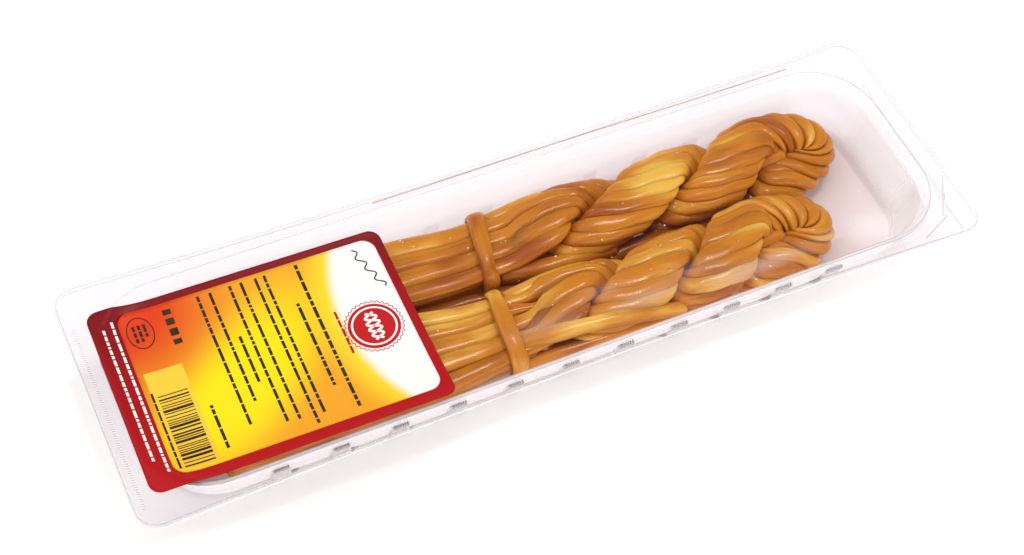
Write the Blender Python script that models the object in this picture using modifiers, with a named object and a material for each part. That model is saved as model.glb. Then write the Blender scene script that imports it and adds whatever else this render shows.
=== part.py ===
"""Sealed clear tray holding two braided string cheeses, in metres, +Z up.

The tray lies along X with its floor on Z = 0 and its middle at the origin. Each braid is a skein
of cheese strands folded over into a loop at the +X end, its two plies twisted round each other,
with the loose tails bound by one strand, the tie, and running on under the label at the -X end.
"""

import math
from dataclasses import dataclass

import bmesh
import bpy
from mathutils import Vector

COLLECTION = "braided_string_cheese"
GAP = 0.0003

# Tray: a thin formed sheet, with a flange all round, a step for stiffness and sloping walls.
PACK_LENGTH = 0.2590
PACK_WIDTH = 0.0796
RIM_HEIGHT = 0.0200
RIM_CORNER = 0.0065
SIDE_BOW = 0.0023
SHEET = 0.0006
MOUTH_LENGTH = 0.2450
MOUTH_WIDTH = 0.0666
MOUTH_CORNER = 0.0200
STEP_DEPTH = 0.0030
STEP_LENGTH = 0.2410
STEP_WIDTH = 0.0626
STEP_CORNER = 0.0190
FLOOR_LENGTH = 0.2320
FLOOR_WIDTH = 0.0522
FLOOR_CORNER = 0.0150

# Lugs: small pads that stand out from the foot of both long walls.
LUG_COUNT = 11
LUG_PITCH = 0.0174
LUG_FIRST_X = -0.0881
LUG_FOOT_WIDTH = 0.0050
LUG_WIDTH = 0.0042
LUG_DEPTH = 0.0010
LUG_TOP = 0.0088
LUG_SHOULDER = 0.0082

# Lid film, sealed to the flange and sagging towards the food, and the label stuck on it.
FILM = 0.0003
FILM_SAG = 0.0032
FILM_SAG_REACH = 0.0050
FILM_INSETS = (0.0, 0.0015, 0.0035, 0.0065, 0.0120)
LABEL_SHEET = 0.0003
LABEL_LENGTH = 0.0859
LABEL_WIDTH = 0.0600
LABEL_X = -0.0801
LABEL_Y = -0.0014
LABEL_TURN = math.radians(-0.8)
LABEL_CORNER = 0.0035

# What both braids share. Heights are counted from the middle of the braid.
MIDDLE_HEIGHT = 0.00875
STRANDS = 7
GROOVE = 0.13
TWIST_RAMP = 0.0090
BRAID_TWIST = 105.0
LOOP_TWIST = 215.0
PRESS_MIDDLE = 0.62
PRESS_BY_TIE = 0.3
PRESS_REACH = 0.0110
LAG_REACH = 0.0150
SQUASH = 0.74
SQUASH_REACH = 0.0170
TAIL_STATION = 0.0110
BRAID_STATION = 0.0034
LOOP_STATION = 0.0017
PATH_STEP = 0.0005
PATH_SMOOTHING = 24


@dataclass(frozen=True)
class Braid:
    """One braid. x positions run along the tray and y positions across it."""

    name: str
    axis_y: float
    tail_x: float
    tie_x: float
    first_crossing_x: float
    half_pitch: float
    lag: float
    tail_axis_y: float
    tail_radius: float
    tie_radius: float
    ply_radius: float
    loop_radius: float
    loop_axis_y: float
    loop_spread: float
    loop_reach: float
    loop_phase: float
    tie_lean: float


BRAIDS = (
    Braid(
        name="far",
        axis_y=0.0147,
        tail_x=-0.1050,
        tie_x=-0.0090,
        first_crossing_x=0.0065,
        half_pitch=0.0340,
        lag=0.13,
        tail_axis_y=0.0162,
        tail_radius=0.0058,
        tie_radius=0.0053,
        ply_radius=0.0066,
        loop_radius=0.0076,
        loop_axis_y=0.0135,
        loop_spread=0.0080,
        loop_reach=0.0158,
        loop_phase=math.radians(64.0),
        tie_lean=0.0022,
    ),
    Braid(
        name="near",
        axis_y=-0.0133,
        tail_x=-0.1020,
        tie_x=-0.0145,
        first_crossing_x=-0.0010,
        half_pitch=0.0300,
        lag=0.09,
        tail_axis_y=-0.0123,
        tail_radius=0.0073,
        tie_radius=0.0056,
        ply_radius=0.0067,
        loop_radius=0.0073,
        loop_axis_y=-0.0133,
        loop_spread=0.0076,
        loop_reach=0.0153,
        loop_phase=math.radians(72.0),
        tie_lean=0.0010,
    ),
)

# Ties: one flattened strand round each bundle of tails.
TIE_WIDTH = 0.0046
TIE_THICKNESS = 0.0017
TIE_ROOM = 1.45
TIE_CLEARANCE = 0.0006
TIE_SQUARENESS = 0.55
TIE_STATIONS = 28
TIE_SIDES = 6


def clear_scene():
    for old in list(bpy.data.objects):
        bpy.data.objects.remove(old, do_unlink=True)


def smoothstep(value, low, high):
    """0 below low, 1 above high and an even S between them."""
    share = min(max((value - low) / (high - low), 0.0), 1.0)
    return share * share * (3.0 - 2.0 * share)


def blend(first, second, share):
    return first + (second - first) * share


def make_material(name, colour, roughness, transmission=0.0):
    material = bpy.data.materials.new(name)
    material.use_nodes = True
    shader = material.node_tree.nodes["Principled BSDF"]
    shader.inputs["Base Color"].default_value = (*colour, 1.0)
    shader.inputs["Roughness"].default_value = roughness
    shader.inputs["Metallic"].default_value = 0.0
    shader.inputs["Transmission Weight"].default_value = transmission
    material.diffuse_color = (*colour, 1.0)
    return material


def add_object(name, bm, material, collection):
    bmesh.ops.recalc_face_normals(bm, faces=bm.faces)
    mesh = bpy.data.meshes.new(name)
    bm.to_mesh(mesh)
    bm.free()
    mesh.materials.append(material)
    mesh.shade_smooth()
    mesh.set_sharp_from_angle(angle=math.radians(50.0))
    obj = bpy.data.objects.new(name, mesh)
    collection.objects.link(obj)
    return obj


def add_sheet_thickness(obj, thickness):
    shell = obj.modifiers.new("sheet", "SOLIDIFY")
    shell.thickness = thickness
    shell.offset = -1.0
    shell.use_even_offset = True


def rounded_outline(length, width, corner, side_stops, corner_steps, bow=0.0):
    """Points of a rounded rectangle, anticlockwise from the -X end of its -Y side.

    side_stops are the x positions of points along both long sides. With a bow, the long sides
    pull in towards their middles.
    """
    half_x = length / 2 - corner
    half_y = width / 2 - corner
    near_side = [(x, -width / 2 + bow * (1 - (x / half_x) ** 2)) for x in side_stops]
    far_side = [(x, -y) for x, y in reversed(near_side)]
    corners = []
    for centre_x, centre_y, start in (
        (half_x, -half_y, -math.pi / 2),
        (half_x, half_y, 0.0),
        (-half_x, half_y, math.pi / 2),
        (-half_x, -half_y, math.pi),
    ):
        turns = (start + math.pi / 2 * i / corner_steps for i in range(corner_steps + 1))
        corners.append(
            [(centre_x + corner * math.cos(a), centre_y + corner * math.sin(a)) for a in turns]
        )
    return near_side + corners[0] + corners[1] + far_side + corners[2] + corners[3]


def loft(bm, rings, close_first=False, close_last=True):
    """Joins rings of as many points each by quads, and closes the last with one flat face."""
    rows = [[bm.verts.new(point) for point in ring] for ring in rings]
    count = len(rings[0])
    for upper, lower in zip(rows, rows[1:]):
        for i in range(count):
            j = (i + 1) % count
            bm.faces.new((upper[i], upper[j], lower[j], lower[i]))
    if close_first:
        bm.faces.new(rows[0])
    if close_last:
        bm.faces.new(rows[-1])


def lug_centres():
    return [LUG_FIRST_X + LUG_PITCH * i for i in range(LUG_COUNT)]


def lug_stops():
    """x positions of every lug's four upright edges, from -X to +X."""
    halves = (-LUG_FOOT_WIDTH / 2, -LUG_WIDTH / 2, LUG_WIDTH / 2, LUG_FOOT_WIDTH / 2)
    return [x + half for x in lug_centres() for half in halves]


def on_lug(x):
    return any(abs(x - centre) <= LUG_WIDTH / 2 + 1e-6 for centre in lug_centres())


def wall_ring(height, lug_depth=0.0):
    """The inner face of the wall at a height, between the floor and the step."""
    share = (height - SHEET) / (RIM_HEIGHT - STEP_DEPTH - SHEET)
    outline = rounded_outline(
        blend(FLOOR_LENGTH, STEP_LENGTH, share),
        blend(FLOOR_WIDTH, STEP_WIDTH, share),
        blend(FLOOR_CORNER, STEP_CORNER, share),
        lug_stops(),
        corner_steps=6,
    )
    straight = blend(FLOOR_LENGTH / 2 - FLOOR_CORNER, STEP_LENGTH / 2 - STEP_CORNER, share)
    ring = []
    for x, y in outline:
        stands_out = abs(x) < straight - 1e-4 and on_lug(x)
        ring.append((x, y + math.copysign(lug_depth * stands_out, y), height))
    return ring


def flat_ring(outline, height):
    return [(x, y, height) for x, y in outline]


def build_tray(collection, material):
    stops = lug_stops()
    edge = rounded_outline(PACK_LENGTH, PACK_WIDTH, RIM_CORNER, stops, 6, SIDE_BOW)
    mouth = rounded_outline(MOUTH_LENGTH, MOUTH_WIDTH, MOUTH_CORNER, stops, 6)
    bm = bmesh.new()
    loft(
        bm,
        [
            flat_ring(edge, RIM_HEIGHT),
            flat_ring(mouth, RIM_HEIGHT),
            wall_ring(RIM_HEIGHT - STEP_DEPTH),
            wall_ring(LUG_TOP),
            wall_ring(LUG_SHOULDER, LUG_DEPTH),
            wall_ring(SHEET, LUG_DEPTH),
        ],
    )
    tray = add_object("tray", bm, material, collection)
    add_sheet_thickness(tray, SHEET)
    return tray


def inside_mouth(x, y):
    """Distance from a point in the mouth to its rounded edge, and 0 on the flange."""
    past_x = abs(x) - (MOUTH_LENGTH / 2 - MOUTH_CORNER)
    past_y = abs(y) - (MOUTH_WIDTH / 2 - MOUTH_CORNER)
    to_corner = math.hypot(max(past_x, 0.0), max(past_y, 0.0))
    return max(MOUTH_CORNER - to_corner - min(max(past_x, past_y), 0.0), 0.0)


def film_height(x, y):
    """Upper face of the lid film: flat on the flange, sagging quickly inside the mouth."""
    sag = FILM_SAG * (1.0 - math.exp(-inside_mouth(x, y) / FILM_SAG_REACH))
    return RIM_HEIGHT + GAP + FILM - sag


def film_sheet(name, lift, thickness, collection, material):
    """The lid's sheet, raised by lift, as one open surface thickened downwards."""
    stops = [PACK_LENGTH * (i - 4) / 11 for i in range(9)]
    outlines = [rounded_outline(PACK_LENGTH, PACK_WIDTH, RIM_CORNER, stops, 4, SIDE_BOW)]
    for inset in FILM_INSETS:
        size = (MOUTH_LENGTH - 2 * inset, MOUTH_WIDTH - 2 * inset)
        outlines.append(rounded_outline(*size, MOUTH_CORNER - inset, stops, 4))
    bm = bmesh.new()
    loft(bm, [[(x, y, film_height(x, y) + lift) for x, y in outline] for outline in outlines])
    sheet = add_object(name, bm, material, collection)
    add_sheet_thickness(sheet, thickness)
    return sheet


def build_label(collection, cutters, material):
    """The label lies on the film like a second film, trimmed to a rounded rectangle."""
    label = film_sheet("label", GAP + LABEL_SHEET, LABEL_SHEET, collection, material)
    outline = rounded_outline(LABEL_LENGTH, LABEL_WIDTH, LABEL_CORNER, (), 3)
    bm = bmesh.new()
    loft(bm, [flat_ring(outline, 2 * RIM_HEIGHT), flat_ring(outline, 0.0)], close_first=True)
    trim = add_object("label_trim", bm, material, cutters)
    trim.location = (LABEL_X, LABEL_Y, 0.0)
    trim.rotation_euler = (0.0, 0.0, LABEL_TURN)
    trim.hide_render = True
    trim.display_type = "WIRE"
    cut = label.modifiers.new("trim", "BOOLEAN")
    cut.operation = "INTERSECT"
    cut.object = trim
    return label


def squash(height):
    """Presses a height towards the middle, as the floor and the lid film press the braid."""
    return SQUASH * height / math.sqrt(1.0 + (height / SQUASH_REACH) ** 2)


def twist_travel(braid, x):
    """Half turns made from the tails to x.

    They ease in where the twist begins, and lag a little where the second ply lies long.
    """
    start = braid.first_crossing_x - braid.half_pitch / 2
    run = x - start + TWIST_RAMP / 2
    if run <= 0:
        travel = 0.0
    elif run < TWIST_RAMP:
        travel = run * run / (2 * TWIST_RAMP * braid.half_pitch)
    else:
        travel = (x - start) / braid.half_pitch
    lag_x = braid.first_crossing_x + 1.2 * braid.half_pitch
    return travel - braid.lag * math.exp(-(((x - lag_x) / LAG_REACH) ** 2))


def axis_at(braid, x):
    """y of the braid's axis at x."""
    into_loop = smoothstep(x, twist_end(braid) - 0.030, twist_end(braid))
    before_tie = smoothstep(x, braid.tie_x - 0.030, braid.tie_x)
    axis_y = blend(braid.tail_axis_y, braid.axis_y, before_tie)
    return blend(axis_y, braid.loop_axis_y, into_loop)


def press(braid, point):
    """Flattens the two plies against each other: each spreads sideways where they touch."""
    turn = math.pi * twist_travel(braid, min(point.x, twist_end(braid)))
    axis_y = axis_at(braid, point.x)
    off = point.y - axis_y
    away = off * math.cos(turn) - point.z * math.sin(turn)
    beside = off * math.sin(turn) + point.z * math.cos(turn)
    reach = 2 * ply_size(braid, point.x)[0]
    by_tie = PRESS_BY_TIE * math.exp(-(((point.x - braid.first_crossing_x) / PRESS_REACH) ** 2))
    pressed = smoothstep(point.x, braid.tie_x, braid.first_crossing_x) * (1.0 + by_tie)
    pressed *= 1.0 - smoothstep(point.x, twist_end(braid) - 0.012, twist_end(braid) + 0.002)
    beside *= 1.0 + pressed * PRESS_MIDDLE * max(1.0 - abs(away) / reach, 0.0)
    y = axis_y + away * math.cos(turn) + beside * math.sin(turn)
    return Vector((point.x, y, beside * math.cos(turn) - away * math.sin(turn)))


def twist_end(braid):
    """x where the plies leave the twist and turn into the loop."""
    last_crossing = braid.first_crossing_x + 2 * braid.half_pitch
    return last_crossing + braid.half_pitch * braid.loop_phase / math.pi


def ply_size(braid, x):
    """(radius of one ply, distance of its centre from the braid's axis) at x."""
    before_tie = smoothstep(x, braid.tie_x - 0.030, braid.tie_x)
    after_tie = smoothstep(x, braid.tie_x, braid.tie_x + 0.030)
    radius = blend(braid.tail_radius, braid.tie_radius, before_tie)
    radius = blend(radius, braid.ply_radius, after_tie)
    into_loop = smoothstep(x, twist_end(braid) - 0.016, twist_end(braid))
    spread = blend(radius + GAP / 2, braid.loop_spread, into_loop)
    return blend(radius, braid.loop_radius, into_loop), spread


def twisted_point(braid, x, start_angle):
    """Centre of a ply at x, before the squash, with the ply's radius there."""
    radius, spread = ply_size(braid, x)
    angle = start_angle - math.pi * twist_travel(braid, x)
    y = axis_at(braid, x) + spread * math.cos(angle)
    return Vector((x, y, spread * math.sin(angle))), radius


def skein_path(braid):
    """The skein's centre line: one ply to the loop, round it, and the other ply back.

    Returns the points, the radius at each and the twist of the strands per metre at each.
    """
    end_x = twist_end(braid)
    steps = int((end_x - braid.tail_x) / PATH_STEP)
    xs = [blend(braid.tail_x, end_x, i / steps) for i in range(steps + 1)]
    out = [twisted_point(braid, x, math.pi) for x in xs]
    back = [twisted_point(braid, x, 0.0) for x in reversed(xs)]
    first, last = out[-1][0], back[0][0]
    turn_steps = int(math.pi * braid.loop_reach / PATH_STEP)
    turn = []
    for i in range(1, turn_steps):
        angle = math.pi * i / turn_steps
        share = (1.0 - math.cos(angle)) / 2
        point = first.lerp(last, share)
        point.x += braid.loop_reach * math.sin(angle)
        turn.append((point, braid.loop_radius))
    whole = out + turn + back
    points = [point for point, _ in whole]
    for _ in range(PATH_SMOOTHING):
        inner = [(a + b * 2 + c) / 4 for a, b, c in zip(points, points[1:], points[2:])]
        points = [points[0]] + inner + [points[-1]]
    twist = []
    for point in points:
        into_twist = smoothstep(point.x, braid.tie_x, braid.first_crossing_x)
        into_loop = smoothstep(point.x, end_x - 0.014, end_x + 0.004)
        twist.append(blend(BRAID_TWIST * into_twist, LOOP_TWIST, into_loop))
    return points, [radius for _, radius in whole], twist


def station_spacing(braid, x):
    if x > twist_end(braid):
        return LOOP_STATION
    if x > braid.tie_x - 0.004:
        return BRAID_STATION
    return TAIL_STATION


def braid_rings(braid):
    """Lobed rings across the skein, one lobe for each strand, turning with the strands."""
    points, radii, twist = skein_path(braid)
    rings = []
    angle = 0.0
    since_last = math.inf
    for i, point in enumerate(points):
        before = points[max(i - 1, 0)]
        after = points[min(i + 1, len(points) - 1)]
        step = (point - before).length
        angle += twist[i] * step
        since_last += step
        if since_last < station_spacing(braid, point.x) and i < len(points) - 1:
            continue
        since_last = 0.0
        along = (after - before).normalized()
        side = Vector((0.0, 0.0, 1.0)).cross(along).normalized()
        up = along.cross(side)
        ring = []
        for k in range(2 * STRANDS):
            lobe = angle + math.pi * k / STRANDS
            reach = radii[i] * (1.0 - GROOVE * (k % 2))
            corner = point + side * (reach * math.cos(lobe)) + up * (reach * math.sin(lobe))
            corner = press(braid, corner)
            ring.append((corner.x, corner.y, MIDDLE_HEIGHT + squash(corner.z)))
        rings.append(ring)
    return rings


def build_braid(braid, collection, material):
    bm = bmesh.new()
    loft(bm, braid_rings(braid), close_first=True)
    return add_object(f"braid_{braid.name}", bm, material, collection)


def build_tie(braid, collection, material):
    """A flattened strand that runs once round the bundle, leaning along the tray at its top."""
    half_y = 2 * braid.tie_radius + TIE_CLEARANCE + TIE_THICKNESS / 2
    half_z = squash(TIE_ROOM * braid.tie_radius) + TIE_CLEARANCE + TIE_THICKNESS / 2
    rings = []
    for i in range(TIE_STATIONS):
        turn = 2 * math.pi * i / TIE_STATIONS
        # A rounded oblong: the powers flatten the run over the top and under the bottom.
        across = math.copysign(abs(math.cos(turn)) ** TIE_SQUARENESS, math.cos(turn))
        upright = math.copysign(abs(math.sin(turn)) ** TIE_SQUARENESS, math.sin(turn))
        centre = Vector((braid.tie_x, braid.axis_y, MIDDLE_HEIGHT))
        centre += Vector((braid.tie_lean * across, half_y * across, half_z * upright))
        outward = Vector((0.0, across * half_z, upright * half_y)).normalized()
        ring = []
        for k in range(TIE_SIDES):
            angle = 2 * math.pi * (k + 0.5) / TIE_SIDES
            lengthwise = Vector((TIE_WIDTH / 2 * math.sin(angle), 0.0, 0.0))
            ring.append(centre + lengthwise + outward * (TIE_THICKNESS / 2 * math.cos(angle)))
        rings.append(ring)
    bm = bmesh.new()
    loft(bm, rings + rings[:1], close_last=False)
    bmesh.ops.remove_doubles(bm, verts=bm.verts, dist=1e-6)
    return add_object(f"tie_{braid.name}", bm, material, collection)


def main():
    clear_scene()
    collection = bpy.data.collections.new(COLLECTION)
    cutters = bpy.data.collections.new("cutters")
    for group in (collection, cutters):
        bpy.context.scene.collection.children.link(group)
    clear_plastic = make_material("clear_tray", (0.93, 0.92, 0.94), 0.12, transmission=0.9)
    clear_film = make_material("clear_film", (0.95, 0.94, 0.95), 0.08, transmission=0.95)
    printed_label = make_material("printed_label", (0.85, 0.16, 0.05), 0.35)
    cheese = make_material("smoked_cheese", (0.72, 0.36, 0.09), 0.32)
    tie_cheese = make_material("tie_cheese", (0.66, 0.30, 0.07), 0.32)
    build_tray(collection, clear_plastic)
    film_sheet("lid_film", 0.0, FILM, collection, clear_film)
    build_label(collection, cutters, printed_label)
    for braid in BRAIDS:
        build_braid(braid, collection, cheese)
        build_tie(braid, collection, tie_cheese)


main()
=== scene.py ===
"""Looks of the sealed pack of braided string cheese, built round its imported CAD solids.

Lengths are in metres in the part's frame: +X runs from the label to the loops of the braids, +Y to
the far side of the tray and +Z up. Cross-sections of a braid are laid out round the braid's middle
and then pressed flat, as the floor and the lid film press the real one.
"""

import math
import random
from dataclasses import dataclass

import bpy
import numpy as np
from mathutils import Matrix, Vector


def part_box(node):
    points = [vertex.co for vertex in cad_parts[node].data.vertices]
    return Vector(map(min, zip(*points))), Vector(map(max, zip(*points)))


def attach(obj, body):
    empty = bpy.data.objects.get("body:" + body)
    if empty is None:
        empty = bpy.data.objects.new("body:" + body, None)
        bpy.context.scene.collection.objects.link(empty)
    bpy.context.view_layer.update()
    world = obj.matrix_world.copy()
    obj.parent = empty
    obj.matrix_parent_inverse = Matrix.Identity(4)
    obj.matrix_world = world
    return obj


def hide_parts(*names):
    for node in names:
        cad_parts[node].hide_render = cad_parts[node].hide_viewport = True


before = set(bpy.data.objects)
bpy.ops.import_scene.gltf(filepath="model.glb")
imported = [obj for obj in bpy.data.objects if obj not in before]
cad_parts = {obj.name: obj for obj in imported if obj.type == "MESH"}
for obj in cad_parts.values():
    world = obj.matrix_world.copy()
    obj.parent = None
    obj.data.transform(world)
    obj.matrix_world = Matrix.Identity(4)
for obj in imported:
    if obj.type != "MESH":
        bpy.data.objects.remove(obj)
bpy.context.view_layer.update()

MM = 0.001
GAP = 0.3 * MM

# Tray, from the frame: its ends, sides and rim. The rest repeats the part's own design.
TRAY_LOW, TRAY_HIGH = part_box("tray")
PACK_LENGTH = TRAY_HIGH.x - TRAY_LOW.x
PACK_WIDTH = TRAY_HIGH.y - TRAY_LOW.y
RIM_HEIGHT = TRAY_HIGH.z
RIM_CORNER = 6.5 * MM
SIDE_BOW = 2.3 * MM
SHEET = 0.6 * MM
MOUTH_LENGTH = PACK_LENGTH - 14.0 * MM
MOUTH_WIDTH = PACK_WIDTH - 13.0 * MM
MOUTH_CORNER = 20.0 * MM
STEP_DEPTH = 3.0 * MM
STEP_LENGTH = MOUTH_LENGTH - 4.0 * MM
STEP_WIDTH = MOUTH_WIDTH - 4.0 * MM
STEP_CORNER = 19.0 * MM
FLOOR_LENGTH = 232.0 * MM
FLOOR_WIDTH = 52.2 * MM
FLOOR_CORNER = 15.0 * MM
FLOOR_FILLET = 2.2 * MM

LUG_COUNT = 11
LUG_PITCH = 17.4 * MM
LUG_FIRST_X = -88.1 * MM
LUG_WIDTH = 4.2 * MM
LUG_DEPTH = 1.0 * MM
FAR_LUG_DEPTH = 0.12 * MM
LUG_TOP = 8.6 * MM
LUG_TEETH = 6
LUG_TOOTH = 0.35 * MM
# Where a painted highlight lifts the painted shade of the tray's floor: x, y and reach along and across, in mm.
GLARE = (109.0, -16.0, 10.0, 8.0)

FILM = 0.3 * MM
FILM_SAG = 3.2 * MM
FILM_SAG_REACH = 5.0 * MM
# Whitish patches of the film: x, y, reach along, reach across, all in mm, and how dense.
CLOUDS = (
    (14.0, -16.0, 8.0, 2.4, 0.05),
    (26.0, -23.0, 9.0, 2.4, 0.10),
    (41.0, -19.0, 8.0, 2.4, 0.05),
    (53.0, -26.0, 9.0, 2.6, 0.12),
    (67.0, -25.5, 9.0, 2.4, 0.10),
    (86.0, -24.0, 6.0, 2.0, 0.06),
    (-6.0, -20.5, 9.0, 2.4, 0.06),
)
DROPLETS = 80
PEEL_CREASES = (
    ((121.6, -28.2), (121.8, -38.6)),
    ((127.0, -18.9), (118.6, -32.2)),
    ((120.0, -32.4), (109.4, -37.2)),
)

LABEL_LENGTH = 85.9 * MM
LABEL_WIDTH = 60.0 * MM
LABEL_CENTRE = Vector((-80.1 * MM, -1.4 * MM))
LABEL_TURN = math.radians(-0.8)
LABEL_CORNER = 3.5 * MM
LABEL_SHEET = 0.12 * MM
LABEL_LIFT = 0.32 * MM
BORDER_LEFT = 8.2 * MM
BORDER_RIGHT = 3.1 * MM
BORDER_NEAR = 4.4 * MM
BORDER_FAR = 2.7 * MM
FIELD_CORNER = 3.4 * MM
PRINT_LIFT = 0.08 * MM

# What both braids share, as in the part.
MIDDLE_HEIGHT = 8.75 * MM
STRANDS = 7
TWIST_RAMP = 9.0 * MM
BRAID_TWIST = 105.0
LOOP_TWIST = 320.0
PRESS_MIDDLE = 0.62
PRESS_BY_TIE = 0.3
PRESS_REACH = 11.0 * MM
LAG_REACH = 15.0 * MM
SQUASH = 0.74
SQUASH_REACH = 17.0 * MM
PATH_STEP = 0.5 * MM
PATH_SMOOTHING = 24

# A strand's outline in section: half its width, half its height against the room it has.
STRAND_SIDES = 20
STRAND_ROUNDNESS = 2.25


@dataclass(frozen=True)
class Braid:
    """One braid. x positions run along the tray and y positions across it."""

    name: str
    seed: int
    axis_y: float
    tail_x: float
    tie_x: float
    first_crossing_x: float
    half_pitch: float
    lag: float
    tail_axis_y: float
    tail_radius: float
    tie_radius: float
    ply_radius: float
    loop_radius: float
    loop_axis_y: float
    loop_spread: float
    loop_reach: float
    loop_phase: float
    tie_lean: float
    top_row: tuple


BRAIDS = (
    Braid(
        name="far",
        seed=3,
        axis_y=14.7 * MM,
        tail_x=-105.0 * MM,
        tie_x=-9.0 * MM,
        first_crossing_x=6.5 * MM,
        half_pitch=34.0 * MM,
        lag=0.13,
        tail_axis_y=16.2 * MM,
        tail_radius=5.8 * MM,
        tie_radius=5.3 * MM,
        ply_radius=6.6 * MM,
        loop_radius=7.6 * MM,
        loop_axis_y=13.5 * MM,
        loop_spread=8.0 * MM,
        loop_reach=15.8 * MM,
        loop_phase=math.radians(64.0),
        tie_lean=2.2 * MM,
        top_row=(5.2, 5.6, 5.6, 6.6),
    ),
    Braid(
        name="near",
        seed=8,
        axis_y=-13.3 * MM,
        tail_x=-102.0 * MM,
        tie_x=-14.5 * MM,
        first_crossing_x=-1.0 * MM,
        half_pitch=30.0 * MM,
        lag=0.09,
        tail_axis_y=-12.3 * MM,
        tail_radius=7.3 * MM,
        tie_radius=5.6 * MM,
        ply_radius=6.7 * MM,
        loop_radius=7.3 * MM,
        loop_axis_y=-13.3 * MM,
        loop_spread=7.6 * MM,
        loop_reach=15.3 * MM,
        loop_phase=math.radians(72.0),
        tie_lean=1.0 * MM,
        top_row=(5.0, 5.6, 6.0, 5.2, 5.4),
    ),
)

# Loose strands: points (x, y, z), half width and half height in mm, and warmth.
LOOSE_STRANDS = {
    "far": (
        (((-6, 23.4, 9.5), (4, 24.4, 10.5), (14, 25.0, 10.5), (24, 24.8, 8.5), (33, 23, 6)), 2.6, 2.4, 0.45),
        (((-8, 5.8, 8.0), (0, 4.0, 8.5), (9, 2.8, 9.0), (19, 2.8, 8.0), (30, 3.5, 6)), 2.7, 2.5, 0.80),
        # This low strand fills the gap between the braids; its dark brown warmth is painted shade for the shadow there.
        (((-100, 3.2, 4.0), (-60, 3.4, 4.2), (-20, 3.0, 4.2), (-4, 1.8, 4.0), (20, 2.2, 3.8), (56, 3.0, 3.6), (70, 3.2, 3.4)),
         3.1, 2.8, 1.05),
    ),
    "near": (
        (((-11, -3.8, 9.5), (-2, -2.8, 10.5), (8, -2.0, 10.5), (18, -2.4, 8.5), (27, -3.5, 6)), 2.6, 2.4, 0.40),
        (((-16, -20, 11), (-6, -21, 13.2), (6, -22.4, 13.8), (18, -23.8, 13.2), (29, -24.6, 11), (38, -25, 8)),
         2.4, 2.2, 0.35),
        (((-14, -24.4, 7), (0, -25.3, 8.2), (14, -25.6, 8.2), (28, -25.6, 7.4), (40, -25.4, 6)), 2.3, 2.3, 0.60),
    ),
}

TIE_WIDTH = 5.0 * MM
TIE_THICKNESS = 2.6 * MM
TIE_ROOM = 1.45
TIE_CLEARANCE = 0.6 * MM
TIE_SQUARENESS = 0.70
CAD_TIE_THICKNESS = 1.7 * MM


def smoothstep(value, low, high):
    share = np.clip((value - low) / (high - low), 0.0, 1.0)
    return share * share * (3.0 - 2.0 * share)


def blend(first, second, share):
    return first + (second - first) * share


def wander(rng, travel, wave, size):
    """A smooth random line along travel: three sines of nearby wavelengths with random starts."""
    total = np.zeros_like(travel)
    for stretch in (1.0, 0.62, 0.41):
        total += stretch * np.sin(2 * math.pi * travel / (wave * stretch) + rng.uniform(0.0, 6.28))
    return size * total / 2.03


def squash(height):
    return SQUASH * height / np.sqrt(1.0 + (height / SQUASH_REACH) ** 2)


# ---------------------------------------------------------------- meshes


class MeshMaker:
    """Collects grids of points, with values stored on them, into one mesh."""

    def __init__(self):
        self.points = []
        self.faces = []
        self.values = {}
        self.count = 0

    def add_points(self, points, **values):
        points = np.asarray(points, float).reshape(-1, 3)
        self.points.append(points)
        for key, value in values.items():
            flat = np.broadcast_to(np.asarray(value, float), (len(points),))
            self.values.setdefault(key, []).append(flat)
        start = self.count
        self.count += len(points)
        return start

    def add_grid(self, grid, closed=False, **values):
        """grid is rows x columns x 3. With closed, each row is a ring."""
        rows, columns = grid.shape[:2]
        flat_values = {key: np.broadcast_to(value, (rows, columns)).ravel() for key, value in values.items()}
        start = self.add_points(grid, **flat_values)
        index = start + np.arange(rows * columns).reshape(rows, columns)
        after = np.roll(index, -1, axis=1) if closed else index[:, 1:]
        first = index if closed else index[:, :-1]
        quads = np.stack([first[:-1], after[:-1], after[1:], first[1:]], axis=-1).reshape(-1, 4)
        self.faces.extend(map(tuple, quads.tolist()))
        return index

    def add_face(self, corners):
        self.faces.append(tuple(int(i) for i in corners))

    def build(self, name, material, smooth=True, sharp_angle=None):
        mesh = bpy.data.meshes.new(name)
        mesh.from_pydata(np.vstack(self.points).tolist(), [], self.faces)
        for key, parts in self.values.items():
            layer = mesh.attributes.new(key, "FLOAT", "POINT")
            layer.data.foreach_set("value", np.concatenate(parts).astype(np.float32))
        mesh.materials.append(material)
        if smooth:
            mesh.shade_smooth()
        if sharp_angle:
            mesh.set_sharp_from_angle(angle=math.radians(sharp_angle))
        mesh.validate()
        piece = bpy.data.objects.new(name, mesh)
        bpy.context.scene.collection.objects.link(piece)
        return piece


def apply_modifiers(piece):
    """Turns a piece's modifiers into plain mesh."""
    graph = bpy.context.evaluated_depsgraph_get()
    mesh = bpy.data.meshes.new_from_object(piece.evaluated_get(graph))
    old = piece.data
    piece.modifiers.clear()
    piece.data = mesh
    bpy.data.meshes.remove(old)
    return piece


def thicken(piece, thickness):
    """Gives an open sheet its thickness, downwards."""
    shell = piece.modifiers.new("sheet", "SOLIDIFY")
    shell.thickness = thickness
    shell.offset = -1.0
    return apply_modifiers(piece)


# ---------------------------------------------------------------- materials


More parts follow.
